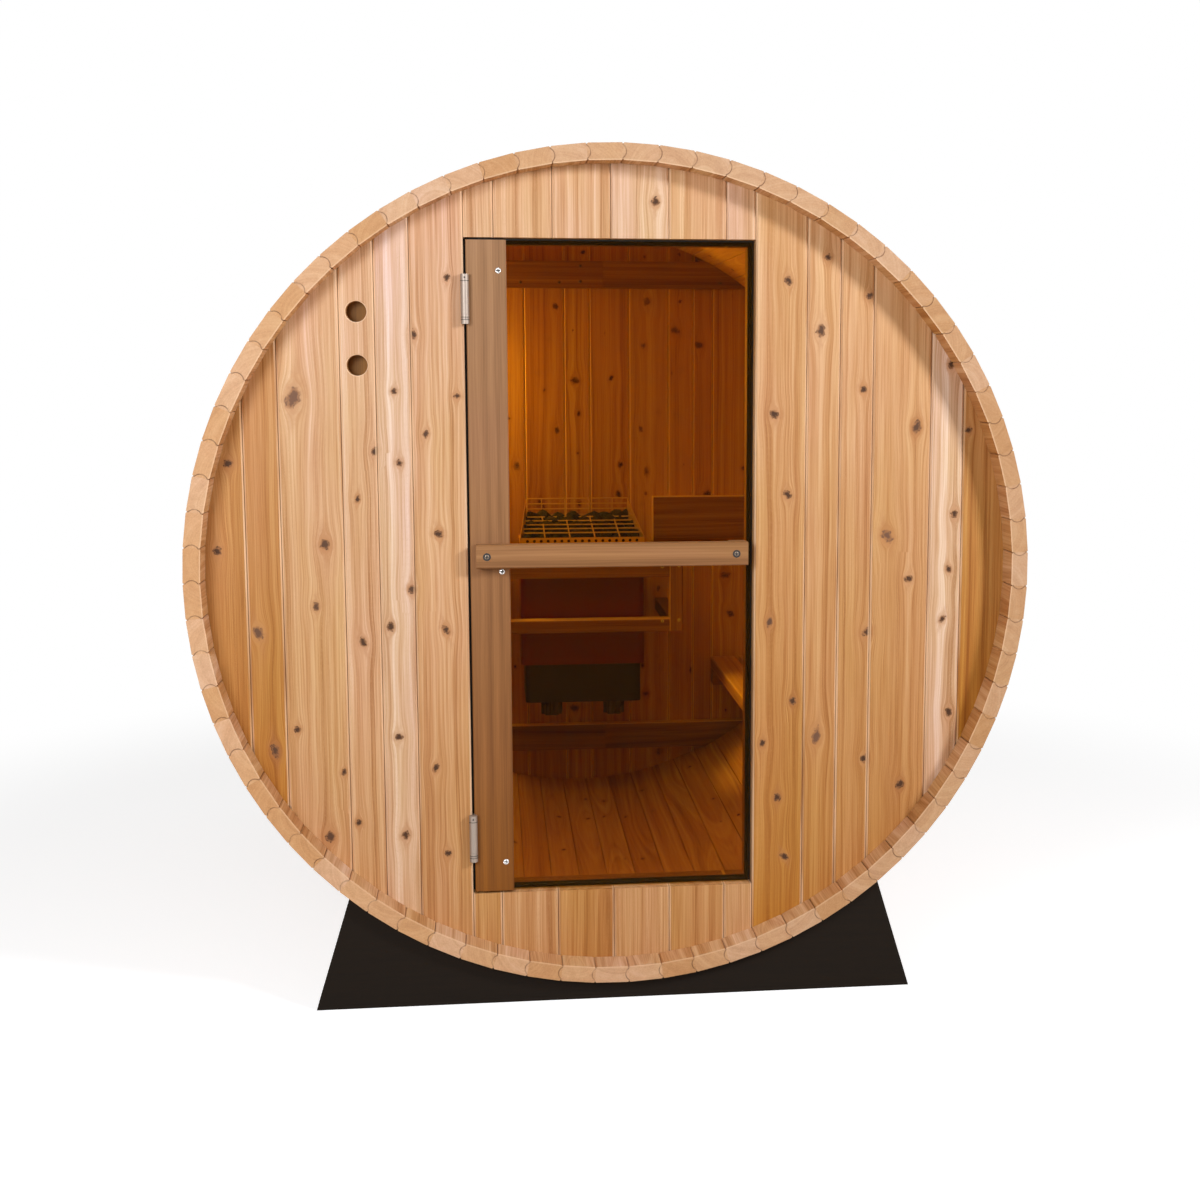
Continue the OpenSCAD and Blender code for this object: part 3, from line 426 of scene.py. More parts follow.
def stave_material():
    """Bead-and-cove staves, each with its own heart, end grain at the rims and dark joints. Knots are moved
    away from the end grain. The lip, the inner side of the shell ahead of the front wall, is painted a little
    paler at the left and darker towards the right as shade; the end grain has painted light, paler at the
    left and the bottom, and a painted highlight on its inner arris."""
    sh = Shader("cedar_staves")
    x, y, z = sh.place()
    up = sh.sub(z, AXIS_Z)
    pitch = 2 * math.pi / STAVE_COUNT
    turned = sh.math("DIVIDE", sh.sub(sh.math("ARCTAN2", x, up), STAVE_TURN), pitch)
    whole = sh.math("ROUND", turned)
    index = sh.math("FLOORED_MODULO", whole, float(STAVE_COUNT))
    lean = sh.mul(sh.sub(turned, whole), pitch)
    radius = sh.length(x, up)
    across = sh.mul(radius, sh.math("SINE", lean))
    high = sh.mul(radius, sh.math("COSINE", lean))
    depth = sh.sub(high, INNER_R)
    rand = sh.scatter(sh.join(index, 11.0, 5.0))
    knot = scattered_knot(sh, index, sh.add(y, 3.0), across, *STAVE_KNOTS)
    on_end = sh.step(sh.math("ABSOLUTE", y), STAVE_END - 1.5 * MM, STAVE_END - 0.5 * MM)
    knot = (knot[0], sh.add(knot[1], on_end), knot[2], knot[3])
    colour, height = cedar_figure(sh, across, depth, y, rand, CEDAR, knot)
    sawn = sh.noise(sh.join(x, y, z), scale=420.0, detail=4.0, roughness=0.7)
    end_grain = sh.mix(sawn, rgba((0.44, 0.235, 0.115)), rgba((0.76, 0.490, 0.300)))
    colour = sh.mix(sh.mul(on_end, 0.66), colour, end_grain)
    # Painted shade: the lip is a little paler at the left and darker towards the right
    ahead = sh.mul(sh.sub(1.0, on_end), sh.fall(y, -0.80, -0.79))
    lip = sh.mul(ahead, sh.fall(depth, 0.006, 0.012))
    beside = sh.math("DIVIDE", x, SHELL_R)
    spread = sh.add(beside, sh.math("ABSOLUTE", beside))
    tone = sh.add(sh.mul(sh.sub(rand[2], 0.5), 1.3), sh.mul(lip, sh.sub(0.2, sh.mul(spread, 0.35))))
    colour = toned(sh, colour, tone)
    # Painted light: the end grain is paler towards the left and the bottom, darker towards the right and the
    # top
    shade = sh.add(1.0, sh.mul(on_end, sh.add(sh.mul(beside, -0.12), sh.mul(up, -0.06))))
    colour = sh.node("VectorMath", {0: colour, "Scale": shade}, operation="SCALE").outputs[0]
    colour = add_knot(sh, colour, knot, height)
    # Painted highlight along the inner arris of the end grain
    arris = sh.mul(on_end, sh.fall(depth, 0.0015, 0.0035))
    colour = sh.mix(sh.mul(arris, 0.35), colour, rgba(PAINTED_HIGHLIGHT))
    joint = joint_distance(sh, across, high)
    open_part = sh.noise(sh.join(sh.mul(x, 60.0), sh.mul(y, 4.0), sh.mul(z, 60.0)), detail=2.0)
    dark = sh.mul(sh.fall(joint, 0.0003, 0.0018), sh.add(0.25, sh.mul(sh.step(open_part, 0.35, 0.62), 0.5)))
    colour = sh.mix(dark, colour, rgba((0.15, 0.062, 0.025)))
    return wood_surface(sh, colour, height)


def joint_distance(sh, across, high):
    """Distance to the nearer of a stave's two curved joints, in the stave's own plane."""
    half = math.pi / STAVE_COUNT
    mid_r = SHELL_R - STAVE_T / 2
    bead = (mid_r * math.tan(half) - BEAD_R + BEAD_RISE, mid_r)
    nearest = None
    for turn in (0.0, 2 * half):
        cos, sin = math.cos(turn), math.sin(turn)
        right = sh.add(sh.mul(across, cos), sh.mul(high, sin))
        level = sh.sub(sh.mul(high, cos), sh.mul(across, sin))
        flat = sh.sub(sh.mul(right, math.cos(half)), sh.mul(level, math.sin(half)))
        round_part = sh.sub(sh.length(sh.sub(right, bead[0]), sh.sub(level, bead[1])), BEAD_R)
        away = sh.math("ABSOLUTE", sh.math("MINIMUM", flat, round_part))
        nearest = away if nearest is None else sh.math("MINIMUM", nearest, away)
    return nearest


def trim_material(name, along, cell=(WHOLE, WHOLE, WHOLE), start=(0.0, 0.0, 0.0), shades=TRIM, sway=0.4,
                  fade=None, lit=()):
    """Planed bars with the grain along one axis; each cell of the part's space, with one middle at start, has
    its own heart. The fade is painted light: the tone at the height of the axis, and its rise with height.
    Lit edges, given by an axis and a place, get a painted highlight."""
    sh = Shader(name)
    axes = sh.place()
    cells = [sh.math("ROUND", sh.math("DIVIDE", sh.sub(axis, middle), size))
             for axis, size, middle in zip(axes, cell, start)]
    rand = sh.scatter(sh.join(*cells))
    others = [axis for k, axis in enumerate(axes) if k != along]
    colour, height = cedar_figure(sh, others[1], others[0], axes[along], rand, shades, sway=sway)
    tone = sh.mul(sh.sub(rand[0], 0.5), 0.8)
    # Painted light: paler towards the top, darker low down
    if fade:
        tone = sh.add(fade[0], sh.mul(sh.sub(axes[2], AXIS_Z), fade[1]))
    colour = toned(sh, colour, tone)
    # Painted highlight along lit edges
    for axis, place in lit:
        line = sh.fall(sh.math("ABSOLUTE", sh.sub(axes[axis], place)), 0.0015, 0.0045)
        colour = sh.mix(sh.mul(line, 0.8), colour, rgba(PAINTED_HIGHLIGHT))
    return wood_surface(sh, colour, height, 0.55)


def stained_material():
    """Black-stained sawn wood with a few rubbed places."""
    sh = Shader("black_stain")
    x, y, z = sh.place()
    grain = sh.noise(sh.join(sh.mul(x, 6.0), sh.mul(y, 60.0), sh.mul(z, 90.0)), detail=4.0, roughness=0.6)
    rubbed = sh.noise(sh.join(sh.mul(x, 14.0), sh.mul(y, 30.0), sh.mul(z, 34.0)), detail=5.0, roughness=0.7)
    colour = sh.mix(grain, rgba((0.006, 0.0037, 0.0023)), rgba((0.017, 0.0115, 0.0077)))
    colour = sh.mix(sh.mul(sh.step(rubbed, 0.68, 0.80), 0.4), colour, rgba((0.060, 0.044, 0.032)))
    rough = sh.add(0.60, sh.mul(grain, 0.25))
    return sh.surface(Base_Color=colour, Roughness=rough, Specular_IOR_Level=0.12,
                      Normal=sh.bump(grain, 0.0008, 0.6))


def steel_material(name, colour, roughness, stretch, metallic=1.0):
    """Sheet steel with fine brushing along one axis and faint stains."""
    sh = Shader(name)
    x, y, z = sh.place()
    brushed = sh.noise(sh.join(*[sh.mul(axis, scale) for axis, scale in zip((x, y, z), stretch)]), detail=3.0)
    stain = sh.noise(sh.join(x, y, z), scale=9.0, detail=3.0)
    shade = sh.mix(sh.add(sh.mul(brushed, 0.6), sh.mul(stain, 0.4)),
                   rgba(tuple(0.82 * c for c in colour)), rgba(tuple(1.12 * c for c in colour)))
    rough = sh.add(roughness - 0.08, sh.mul(brushed, 0.1), sh.mul(stain, 0.08))
    return sh.surface(Base_Color=shade, Metallic=metallic, Roughness=rough,
                      Normal=sh.bump(brushed, 0.0001, 0.4))


def moulded_material(name, dark, light, roughness, scale):
    """Rubber, plastic or enamel with a fine skin."""
    sh = Shader(name)
    place = sh.node("TexCoord").outputs["Object"]
    skin = sh.noise(place, scale=scale, detail=3.0)
    dust = sh.noise(place, scale=scale / 30.0, detail=3.0)
    colour = sh.mix(sh.add(sh.mul(skin, 0.4), sh.mul(dust, 0.6)), rgba(dark), rgba(light))
    rough = sh.add(roughness, sh.mul(sh.sub(dust, 0.5), 0.2))
    return sh.surface(Base_Color=colour, Roughness=rough, Normal=sh.bump(skin, 0.0002, 0.4))


def glass_material():
    """Clear bronze glass with faint smears."""
    sh = Shader("bronze_glass")
    x, y, z = sh.place()
    smear = sh.noise(sh.join(sh.mul(x, 4.0), y, sh.mul(z, 1.5)), scale=2.0, detail=4.0)
    tint = sh.mix(smear, rgba((0.60, 0.335, 0.013)), rgba((0.65, 0.370, 0.017)))
    rough = sh.mul(sh.step(smear, 0.5, 0.8), 0.03)
    return sh.surface(Base_Color=tint, Roughness=rough, IOR=1.45, Specular_Tint=rgba((0.10, 0.10, 0.10)),
                      Transmission_Weight=1.0)


def stone_material():
    """Dark heater stones, speckled and rough."""
    sh = Shader("heater_stone")
    place = sh.node("TexCoord").outputs["Object"]
    speck = sh.noise(place, scale=220.0, detail=4.0, roughness=0.7)
    cloud = sh.noise(place, scale=22.0, detail=2.0)
    mottle = sh.add(sh.mul(speck, 0.6), sh.mul(cloud, 0.4))
    colour = sh.mix(mottle, rgba((0.007, 0.006, 0.005)), rgba((0.048, 0.044, 0.041)))
    return sh.surface(Base_Color=colour, Roughness=0.85, Normal=sh.bump(speck, 0.002, 0.7))


def piece(name, geometry, material, body, replaced=(), smooth=False):
    """Turns a bmesh into a piece of the object that rides on a body."""
    mesh = bpy.data.meshes.new(name)
    geometry.normal_update()
    geometry.to_mesh(mesh)
    geometry.free()
    made = bpy.data.objects.new(name, mesh)
    bpy.context.scene.collection.objects.link(made)
    for one in material if isinstance(material, tuple) else (material,):
        made.data.materials.append(one)
    for face in mesh.polygons:
        face.use_smooth = smooth
    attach(made, body)
    if replaced:
        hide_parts(*replaced)
    return made


def shell_height(x):
    """Half the height of an end wall at a distance from the axis."""
    return math.sqrt(max(WALL_R ** 2 - x ** 2, 0.0))


def add_board(geometry, left, right, low, high, front, back):
    """Upright board as a closed grid; low and high are heights above the axis, or None at the croze."""
    count = max(2, math.ceil((right - left - 2 * BOARD_BEVEL) / CELL))
    inner = [left + BOARD_BEVEL + (right - left - 2 * BOARD_BEVEL) * k / count for k in range(count + 1)]
    columns = [left] + inner + [right]
    tallest = max(shell_height(x) for x in columns)
    rows = math.ceil(((tallest if high is None else high) + (tallest if low is None else -low)) / (2 * CELL))
    sides = []
    for face, inwards in ((front, 1), (back, -1)):
        grid = []
        for k, x in enumerate(columns):
            edge = k in (0, len(columns) - 1)
            y = face + inwards * BOARD_BEVEL if edge else face
            top = shell_height(x) if high is None else high
            bottom = -shell_height(x) if low is None else low
            heights = [AXIS_Z + bottom + (top - bottom) * r / rows for r in range(rows + 1)]
            grid.append([geometry.verts.new((x, y, height)) for height in heights])
        sides.append(grid)
    fore, aft = sides
    last = len(columns) - 1
    for k in range(last):
        for r in range(rows):
            geometry.faces.new((fore[k][r], fore[k + 1][r], fore[k + 1][r + 1], fore[k][r + 1]))
            geometry.faces.new((aft[k][r], aft[k][r + 1], aft[k + 1][r + 1], aft[k + 1][r]))
        geometry.faces.new((fore[k][0], aft[k][0], aft[k + 1][0], fore[k + 1][0]))
        geometry.faces.new((fore[k][rows], fore[k + 1][rows], aft[k + 1][rows], aft[k][rows]))
    for r in range(rows):
        geometry.faces.new((fore[0][r], fore[0][r + 1], aft[0][r + 1], aft[0][r]))
        geometry.faces.new((fore[last][r], aft[last][r], aft[last][r + 1], fore[last][r + 1]))


def mark_boards(made, boards, placed, rounds):
    """Writes to each face its board's number and tone, how near it is to an edge, and the way to its knot, or
    to the middle of its board where the knots aren't placed. Rounds are the vents' middles and radii."""
    mesh = made.data
    board_data = mesh.attributes.new("board", "FLOAT_VECTOR", "CORNER").data
    knot_data = mesh.attributes.new("knot", "FLOAT_VECTOR", "CORNER").data
    knots = [Vector((x * MM, z * MM, r * MM)) for x, z, r in KNOTS]
    for face in mesh.polygons:
        middle = Vector((face.center.x, face.center.z - AXIS_Z))
        left, right, tone, number = next(b for b in boards if b[0] - MM < middle.x < b[1] + MM)
        own = [k for k in knots if left - k.z < k.x < right + k.z]
        near = min(own, key=lambda k: (k.xy - middle).length) if own else Vector((middle.x + 1, middle.y, MM))
        places = [mesh.vertices[k].co for k in face.vertices]
        facing = abs(face.normal.y) > FACING
        # The flare round a vent takes part of the edges' painted highlight
        flared = facing and any(
            all(radius - MM < (place.xz - centre.xz).length < radius + FLARE + MM for place in places)
            for centre, radius in rounds)
        bored = not facing and any(
            (face.center.xz - centre.xz).length < radius + MM for centre, radius in rounds)
        # Faces inside a bore take a dark tone as painted shade
        tone = BORE_SHADE_TONE if bored else tone
        for loop in face.loop_indices:
            place = mesh.vertices[mesh.loops[loop].vertex_index].co
            edge = max(0.0, 1.0 - min(place.x - left, right - place.x) / BOARD_BEVEL)
            board_data[loop].vector = (number, tone, FLARE_EDGE if flared else edge)
            if placed:
                knot_data[loop].vector = (place.x - near.x, place.z - AXIS_Z - near.y, near.z)
            else:
                knot_data[loop].vector = (place.x - (left + right) / 2, 0.0, 0.0)


def wall_panel(name, node, seams, tones, low, high, front, back, material, seed, skip=()):
    """Boards between neighbouring seams, as one piece in place of a node."""
    draw = random.Random(seed)
    geometry = bmesh.new()
    boards = []
    for k, (left, right) in enumerate(zip(seams, seams[1:])):
        number = draw.random()
        if k in skip:
            continue
        left, right = left + BOARD_GAP / 2, right - BOARD_GAP / 2
        add_board(geometry, left, right, low, high, front, back)
        boards.append((left, right, tones[k % len(tones)], number))
    made = piece(name, geometry, material, "shell", (node,))
    return made, boards


def lathe(geometry, profile, centre, axis, segments=24):
    """Adds a turned form; the profile lists radius and height along the axis, from one end to the other."""
    turn = Vector(axis).to_track_quat("Z", "Y").to_matrix().to_4x4()
    turn.translation = centre
    rings = []
    for radius, height in profile:
        if radius <= 0:
            rings.append([geometry.verts.new(turn @ Vector((0, 0, height)))])
            continue
        angles = [2 * math.pi * k / segments for k in range(segments)]
        rings.append([geometry.verts.new(turn @ Vector((radius * math.cos(a), radius * math.sin(a), height)))
                      for a in angles])
    for one, two in zip(rings, rings[1:]):
        for k in range(segments):
            corners = [one[k % len(one)], one[(k + 1) % len(one)], two[(k + 1) % len(two)], two[k % len(two)]]
            unique = list(dict.fromkeys(corners))
            geometry.faces.new(unique)


def cut(made, geometry):
    """Cuts a closed form out of a piece."""
    mesh = bpy.data.meshes.new("cutter")
    geometry.normal_update()
    geometry.to_mesh(mesh)
    geometry.free()
    cutter = bpy.data.objects.new("cutter", mesh)
    bpy.context.scene.collection.objects.link(cutter)
    modifier = made.modifiers.new("cut", "BOOLEAN")
    modifier.object = cutter
    modifier.solver = "EXACT"
    shaped = bpy.data.meshes.new_from_object(made.evaluated_get(bpy.context.evaluated_depsgraph_get()))
    made.modifiers.clear()
    made.data = shaped
    bpy.data.objects.remove(cutter)


def build_walls():
    """The boards of both end walls."""
    front_cedar = board_material("cedar_boards", WALL_FRONT, True)
    rear_cedar = board_material("cedar_boards_rear", rear_low.y, False)
    span = WALL_R - (DOOR_RIGHT - DOOR_LEFT) / 2
    outwards = [0.0] + [span * share for share in SIDE_SHARES]
    limit = WALL_R - MM
    left = [-limit] + [DOOR_LEFT - s for s in reversed(outwards)]
    right = [DOOR_RIGHT + s for s in outwards] + [limit]
    middle = [DOOR_LEFT] + [DOOR_MID + k * MIDDLE_BOARD for k in range(-2, 3)] + [DOOR_RIGHT]
    rear = [-limit] + [WALL_R * share for share in REAR_SHARES] + [limit]
    vent = len(left) - 2 - VENT_BOARD
    top, bottom = DOOR_TOP - AXIS_Z, DOOR_BOTTOM - AXIS_Z
    left_tones = tuple(reversed(LEFT_TONES))
    others = [k for k in range(len(LEFT_TONES)) if k != vent]
    front = (WALL_FRONT, WALL_BACK, front_cedar)
    back = (rear_low.y, rear_high.y, rear_cedar)
    made = [
        wall_panel("wall_boards_left", "front_wall_left", left, left_tones, None, None, *front, 3, (vent,)),
        wall_panel("wall_board_vents", "vent_board", left, left_tones, None, None, *front, 3, others),
        wall_panel("wall_boards_right", "front_wall_right", right, RIGHT_TONES, None, None, *front, 5),
        wall_panel("wall_boards_over", "front_wall_over_door", middle, OVER_TONES, top, None, *front, 8),
        wall_panel("wall_boards_under", "front_wall_under_door", middle, UNDER_TONES, None, bottom,
                   *front, 13),
        wall_panel("wall_boards_rear", "rear_wall", rear, REAR_TONES, None, None, *back, 21),
    ]
    geometry = bmesh.new()
    rounds = []
    for mount in frame["record"]["mounts"]:
        if mount["kind"] == "bore":
            radius = mount["dims"]["r_mm"] * MM
            profile = [(0, -VENT_BEHIND), (radius, -VENT_BEHIND), (radius, VENT_AHEAD - FLARE),
                       (radius + FLARE, VENT_AHEAD), (0, VENT_AHEAD)]
            lathe(geometry, profile, Vector(mount["pos_m"]), mount["axis"], 48)
            rounds.append((Vector(mount["pos_m"]), radius))
    cut(made[1][0], geometry)
    for panel, boards in made:
        mark_boards(panel, boards, panel.name != "wall_boards_rear", rounds)


def build_materials():
    """Dresses every node that stays with a material of its own slot and grain."""
    grain = {"guard_posts": "posts", "guard_front_rails": "rails", "guard_side_rails": "side_rails",
             "bench_left": "bench_left", "bench_right": "bench_right", "bench_cleats": "cleats",
             "backrest": "backrest", "rear_battens": "battens", "door_stops": "posts", "vent_cover": "vent",
             "door_stile": "stile", "door_handle": "handle", "handle_spacer": "handle"}
    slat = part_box("bench_right")[0].x + SLAT_W / 2
    slats = (SLAT_PITCH, WHOLE, WHOLE)
    rails, backrest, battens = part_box("guard_front_rails"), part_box("backrest"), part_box("rear_battens")
    # Edges that get a painted highlight: the rails' tops, the backrest's top and left edges, the posts' edge
    # at the rails' end and a batten's top
    rail_tops = ((2, rails[1].z), (2, rails[0].z + GUARD_RAIL))
    backrest_edges = ((2, backrest[1].z), (0, backrest[0].x))
    trims = {
        "posts": trim_material("cedar_posts", 2, (0.3, WHOLE, WHOLE), (0.15, 0.0, 0.0),
                               lit=((0, rails[1].x),)),
        "rails": trim_material("cedar_rails", 0, (WHOLE, WHOLE, 0.1), lit=rail_tops),
        "backrest": trim_material("cedar_backrest", 0, lit=backrest_edges),
        "cleats": trim_material("cedar_cleats", 0, (0.8, 0.9, WHOLE), (0.4, 0.45, 0.0)),
        "side_rails": trim_material("cedar_side_rails", 1, (0.3, WHOLE, 0.1), (0.15, 0.0, 0.0)),
        "battens": trim_material("cedar_battens", 0, (2.0, WHOLE, 1.0), (BATTEN_JOINT + 1.0, 0.0, 0.2),
                                 lit=((2, battens[0].z + BATTEN_H),)),
        "bench_left": trim_material("cedar_bench_left", 1, slats, (-slat, 0.0, 0.0), CEDAR),
        "bench_right": trim_material("cedar_bench_right", 1, slats, (slat, 0.0, 0.0), CEDAR),
        "vent": trim_material("cedar_vent", 2, shades=VENT_SHADED_TRIM),
        "stile": trim_material("cedar_stile", 2, shades=DOOR_TRIM, sway=0.15, fade=DOOR_PAINTED_LIGHT),
        "handle": trim_material("cedar_handle", 0, shades=DOOR_TRIM, sway=0.15, fade=DOOR_PAINTED_LIGHT),
    }
    slots = {
        "cedar_staves": stave_material(),
        "black_stain": stained_material(),
        "band_steel": steel_material("band_steel", (0.36, 0.36, 0.35), 0.45, (30.0, 900.0, 30.0)),
        # Warm tint of the hinge steel, partly painted reflection of the cedar around it
        "hinge_steel": steel_material("hinge_steel", (0.38, 0.31, 0.26), 0.46, (300.0, 300.0, 40.0), 0.55),
        "bronze_glass": glass_material(),
        "seal_rubber": moulded_material("seal_rubber", (0.006, 0.006, 0.006), (0.022, 0.021, 0.020),
                                        0.55, 700.0),
        "heater_steel": steel_material("heater_steel", (0.80, 0.55, 0.32), 0.34, (600.0, 600.0, 20.0), 0.55),
        "casing_enamel": moulded_material("casing_enamel", (0.135, 0.003, 0.016), (0.200, 0.007, 0.028),
                                          0.35, 300.0),
        "heater_stone": stone_material(),
        "control_black": moulded_material("control_black", (0.013, 0.006, 0.010), (0.033, 0.017, 0.024),
                                          0.45, 500.0),
        "knob_black": moulded_material("knob_black", (0.034, 0.024, 0.018), (0.090, 0.066, 0.048),
                                       0.28, 600.0),
    }
    for part in frame["record"]["subparts"]:
        node, slot = part["node"], part["material_slot"]
        if slot == "cedar_boards":
            continue
        material = trims[grain[node]] if slot == "cedar_trim" else slots[slot]
        nodes[node].data.materials.clear()
        nodes[node].data.materials.append(material)
    return slots


def build_stones(material):
    """Loose stones heaped in the basket up to the grid, in place of their bed."""
    low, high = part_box("heater_stones")
    wide, deep = high.x - low.x, high.y - low.y
    draw = random.Random(17)
    geometry = bmesh.new()
    columns, rows = round(wide / STONE_PITCH), round(deep / STONE_PITCH)
    front_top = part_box("heater_casing")[1].z + STONES_OVER_CASING
    back_top = high.z + STONES_OVER_BED
    for i in range(columns):
        for j in range(rows):
            aside = 0.25 if j % 2 else -0.25
            x = low.x + (i + 0.5 + aside) * wide / columns
            y = low.y + (j + 0.5) * deep / rows
            top = front_top + (back_top - front_top) * min((j + 0.5) / rows * STONE_SLOPE, 1.0)
            larger = LAST_ROW if j == rows - 1 else 1.0
            for layer in range(STONE_LAYERS):
                size = draw.uniform(*STONE_SIZES) * larger
                place = Vector((x + draw.uniform(-STONE_SHIFT, STONE_SHIFT),
                                y + draw.uniform(-STONE_SHIFT, STONE_SHIFT),
                                top - size * 0.62 - layer * STONE_LAYER_H - draw.uniform(0.0, STONE_DROP)))
                add_stone(geometry, place, size, draw)
    for vertex in geometry.verts:
        vertex.co.y = min(max(vertex.co.y, low.y), high.y)
        inset = BASKET_TAPER * (vertex.co.y - low.y) / deep
        vertex.co.x = min(max(vertex.co.x, low.x + inset), high.x - inset)
    piece("heater_stone_heap", geometry, material, "shell", ("heater_stones",))


def any_way(draw):
    """Vector that points anywhere."""
    return Vector((draw.gauss(0, 1), draw.gauss(0, 1), draw.gauss(0, 1)))


def add_stone(geometry, place, size, draw):
    """One broken stone: a ball with its sides planed off at random."""
    made = bmesh.ops.create_icosphere(geometry, subdivisions=2, radius=size)["verts"]
    turn = Matrix.Rotation(draw.uniform(0, 6.28), 3, any_way(draw))
    planes = [(turn @ any_way(draw).normalized(), draw.uniform(0.62, 0.86)) for _ in range(9)]
    stretch = Vector((draw.uniform(0.95, 1.2), draw.uniform(0.8, 1.05), draw.uniform(0.7, 0.95)))
    for vertex in made:
        for normal, reach in planes:
            over = vertex.co.dot(normal) - reach * size
            if over > 0:
                vertex.co -= normal * over
        vertex.co = place + turn @ Vector([a * b for a, b in zip(vertex.co, stretch)])


def add_screw(geometry, centre, axis, radius):
    """Domed screw head with a cross recess, standing on a face; the recess takes the second material, a
    painted shade.
    """
    turn = Vector(axis).to_track_quat("Z", "Y").to_matrix().to_4x4()
    turn.translation = centre
    rings, spokes = 8, 40
    angles = [2 * math.pi * k / spokes for k in range(spokes)]
    grid, sunk = [], set()
    for ring in range(rings + 1):
        share = ring / rings
        row = []
        for angle in angles:
            x, y = radius * share * math.cos(angle), radius * share * math.sin(angle)
            height = DOME_SHARE * radius * math.sqrt(max(1.02 - share ** 2, 0.0)) + HEAD_RIM
            thin, far = min(abs(x), abs(y)), max(abs(x), abs(y))
            slot = thin < RECESS_HALF_SHARE * radius and far < RECESS_REACH_SHARE * radius
            if slot:
                height -= RECESS_DEPTH_SHARE * radius
            row.append(geometry.verts.new(turn @ Vector((x, y, height))))
            if slot:
                sunk.add(row[-1])
        grid.append(row)
    for one, two in zip(grid, grid[1:]):
        for k in range(spokes):
            corners = (one[k], two[k], two[(k + 1) % spokes], one[(k + 1) % spokes])
            geometry.faces.new(corners).material_index = int(sum(corner in sunk for corner in corners) > 1)
    rim = [(radius * math.cos(angle), radius * math.sin(angle), 0.0) for angle in angles]
    under = [geometry.verts.new(turn @ Vector(place)) for place in rim]
    for k in range(spokes):
        geometry.faces.new((grid[-1][k], under[k], under[(k + 1) % spokes], grid[-1][(k + 1) % spokes]))
    geometry.faces.new(list(reversed(under)))
    bmesh.ops.remove_doubles(geometry, verts=grid[0], dist=0.1 * MM)


def build_screws():
    """Screw heads on the door, the heater guard and the upper rear batten, with their cross recesses painted
    dark as shade, and dark rings of painted shade round the handle's.
    """
    zinc = steel_material("screw_zinc", (0.84, 0.82, 0.80), 0.2, (300.0, 300.0, 300.0))
    # Near-black material that paints the shade in the screws' cross recesses and round the handle's screws
    recess_shade = moulded_material("screw_recess_shade", (0.006, 0.005, 0.005), (0.020, 0.018, 0.016), 0.5, 900.0)
    pale = moulded_material("screw_pale", (0.74, 0.72, 0.70), (0.94, 0.92, 0.90), 0.3, 900.0)
    dull = steel_material("screw_dull", (0.22, 0.17, 0.13), 0.4, (300.0, 300.0, 300.0))
    stile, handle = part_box("door_stile"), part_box("door_handle")
    guard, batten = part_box("guard_front_rails"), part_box("rear_battens")
    door_screws, handle_screws, shade_rings = bmesh.new(), bmesh.new(), bmesh.new()
    for rise in STILE_SCREW_RISES:
        centre = Vector((stile[0].x + STILE_SCREW_X, stile[0].y, AXIS_Z + rise))
        add_screw(door_screws, centre, FORE, DOOR_SCREW_R)
    # Thin dark ring of painted shade round each handle screw
    shade_ring_profile = [(SHADE_RING_IN, 0.0), (SHADE_RING_OUT, 0.0), (SHADE_RING_OUT, SHADE_RING_T), (SHADE_RING_IN, SHADE_RING_T),
              (SHADE_RING_IN, 0.0)]
    for x in (handle[0].x + HANDLE_SCREW_LEFT, handle[1].x - HANDLE_SCREW_RIGHT):
        centre = Vector((x, handle[0].y, (handle[0].z + handle[1].z) / 2))
        add_screw(handle_screws, centre, FORE, HANDLE_SCREW_R)
        lathe(shade_rings, shade_ring_profile, centre, FORE)
    bmesh.ops.remove_doubles(shade_rings, verts=shade_rings.verts[:], dist=0.01 * MM)
    piece("door_screws", door_screws, (zinc, recess_shade), "door", smooth=True)
    piece("handle_screws", handle_screws, (dull, recess_shade), "door", smooth=True)
    piece("handle_shade_rings", shade_rings, recess_shade, "door")
    guard_screws, batten_screws = bmesh.new(), bmesh.new()
    for top in (guard[0].z + GUARD_RAIL, guard[1].z):
        for right, drop in GUARD_SCREWS:
            centre = Vector((guard[1].x + right, guard[0].y, top - drop))
            add_screw(guard_screws, centre, FORE, GUARD_SCREW_R)
    piece("guard_screws", guard_screws, (pale, recess_shade), "shell", smooth=True)
    for x, drop in BATTEN_SCREWS:
        centre = Vector((x, batten[0].y, batten[1].z - drop))
        add_screw(batten_screws, centre, FORE, BATTEN_SCREW_R)
    piece("batten_screws", batten_screws, (dull, recess_shade), "shell", smooth=True)


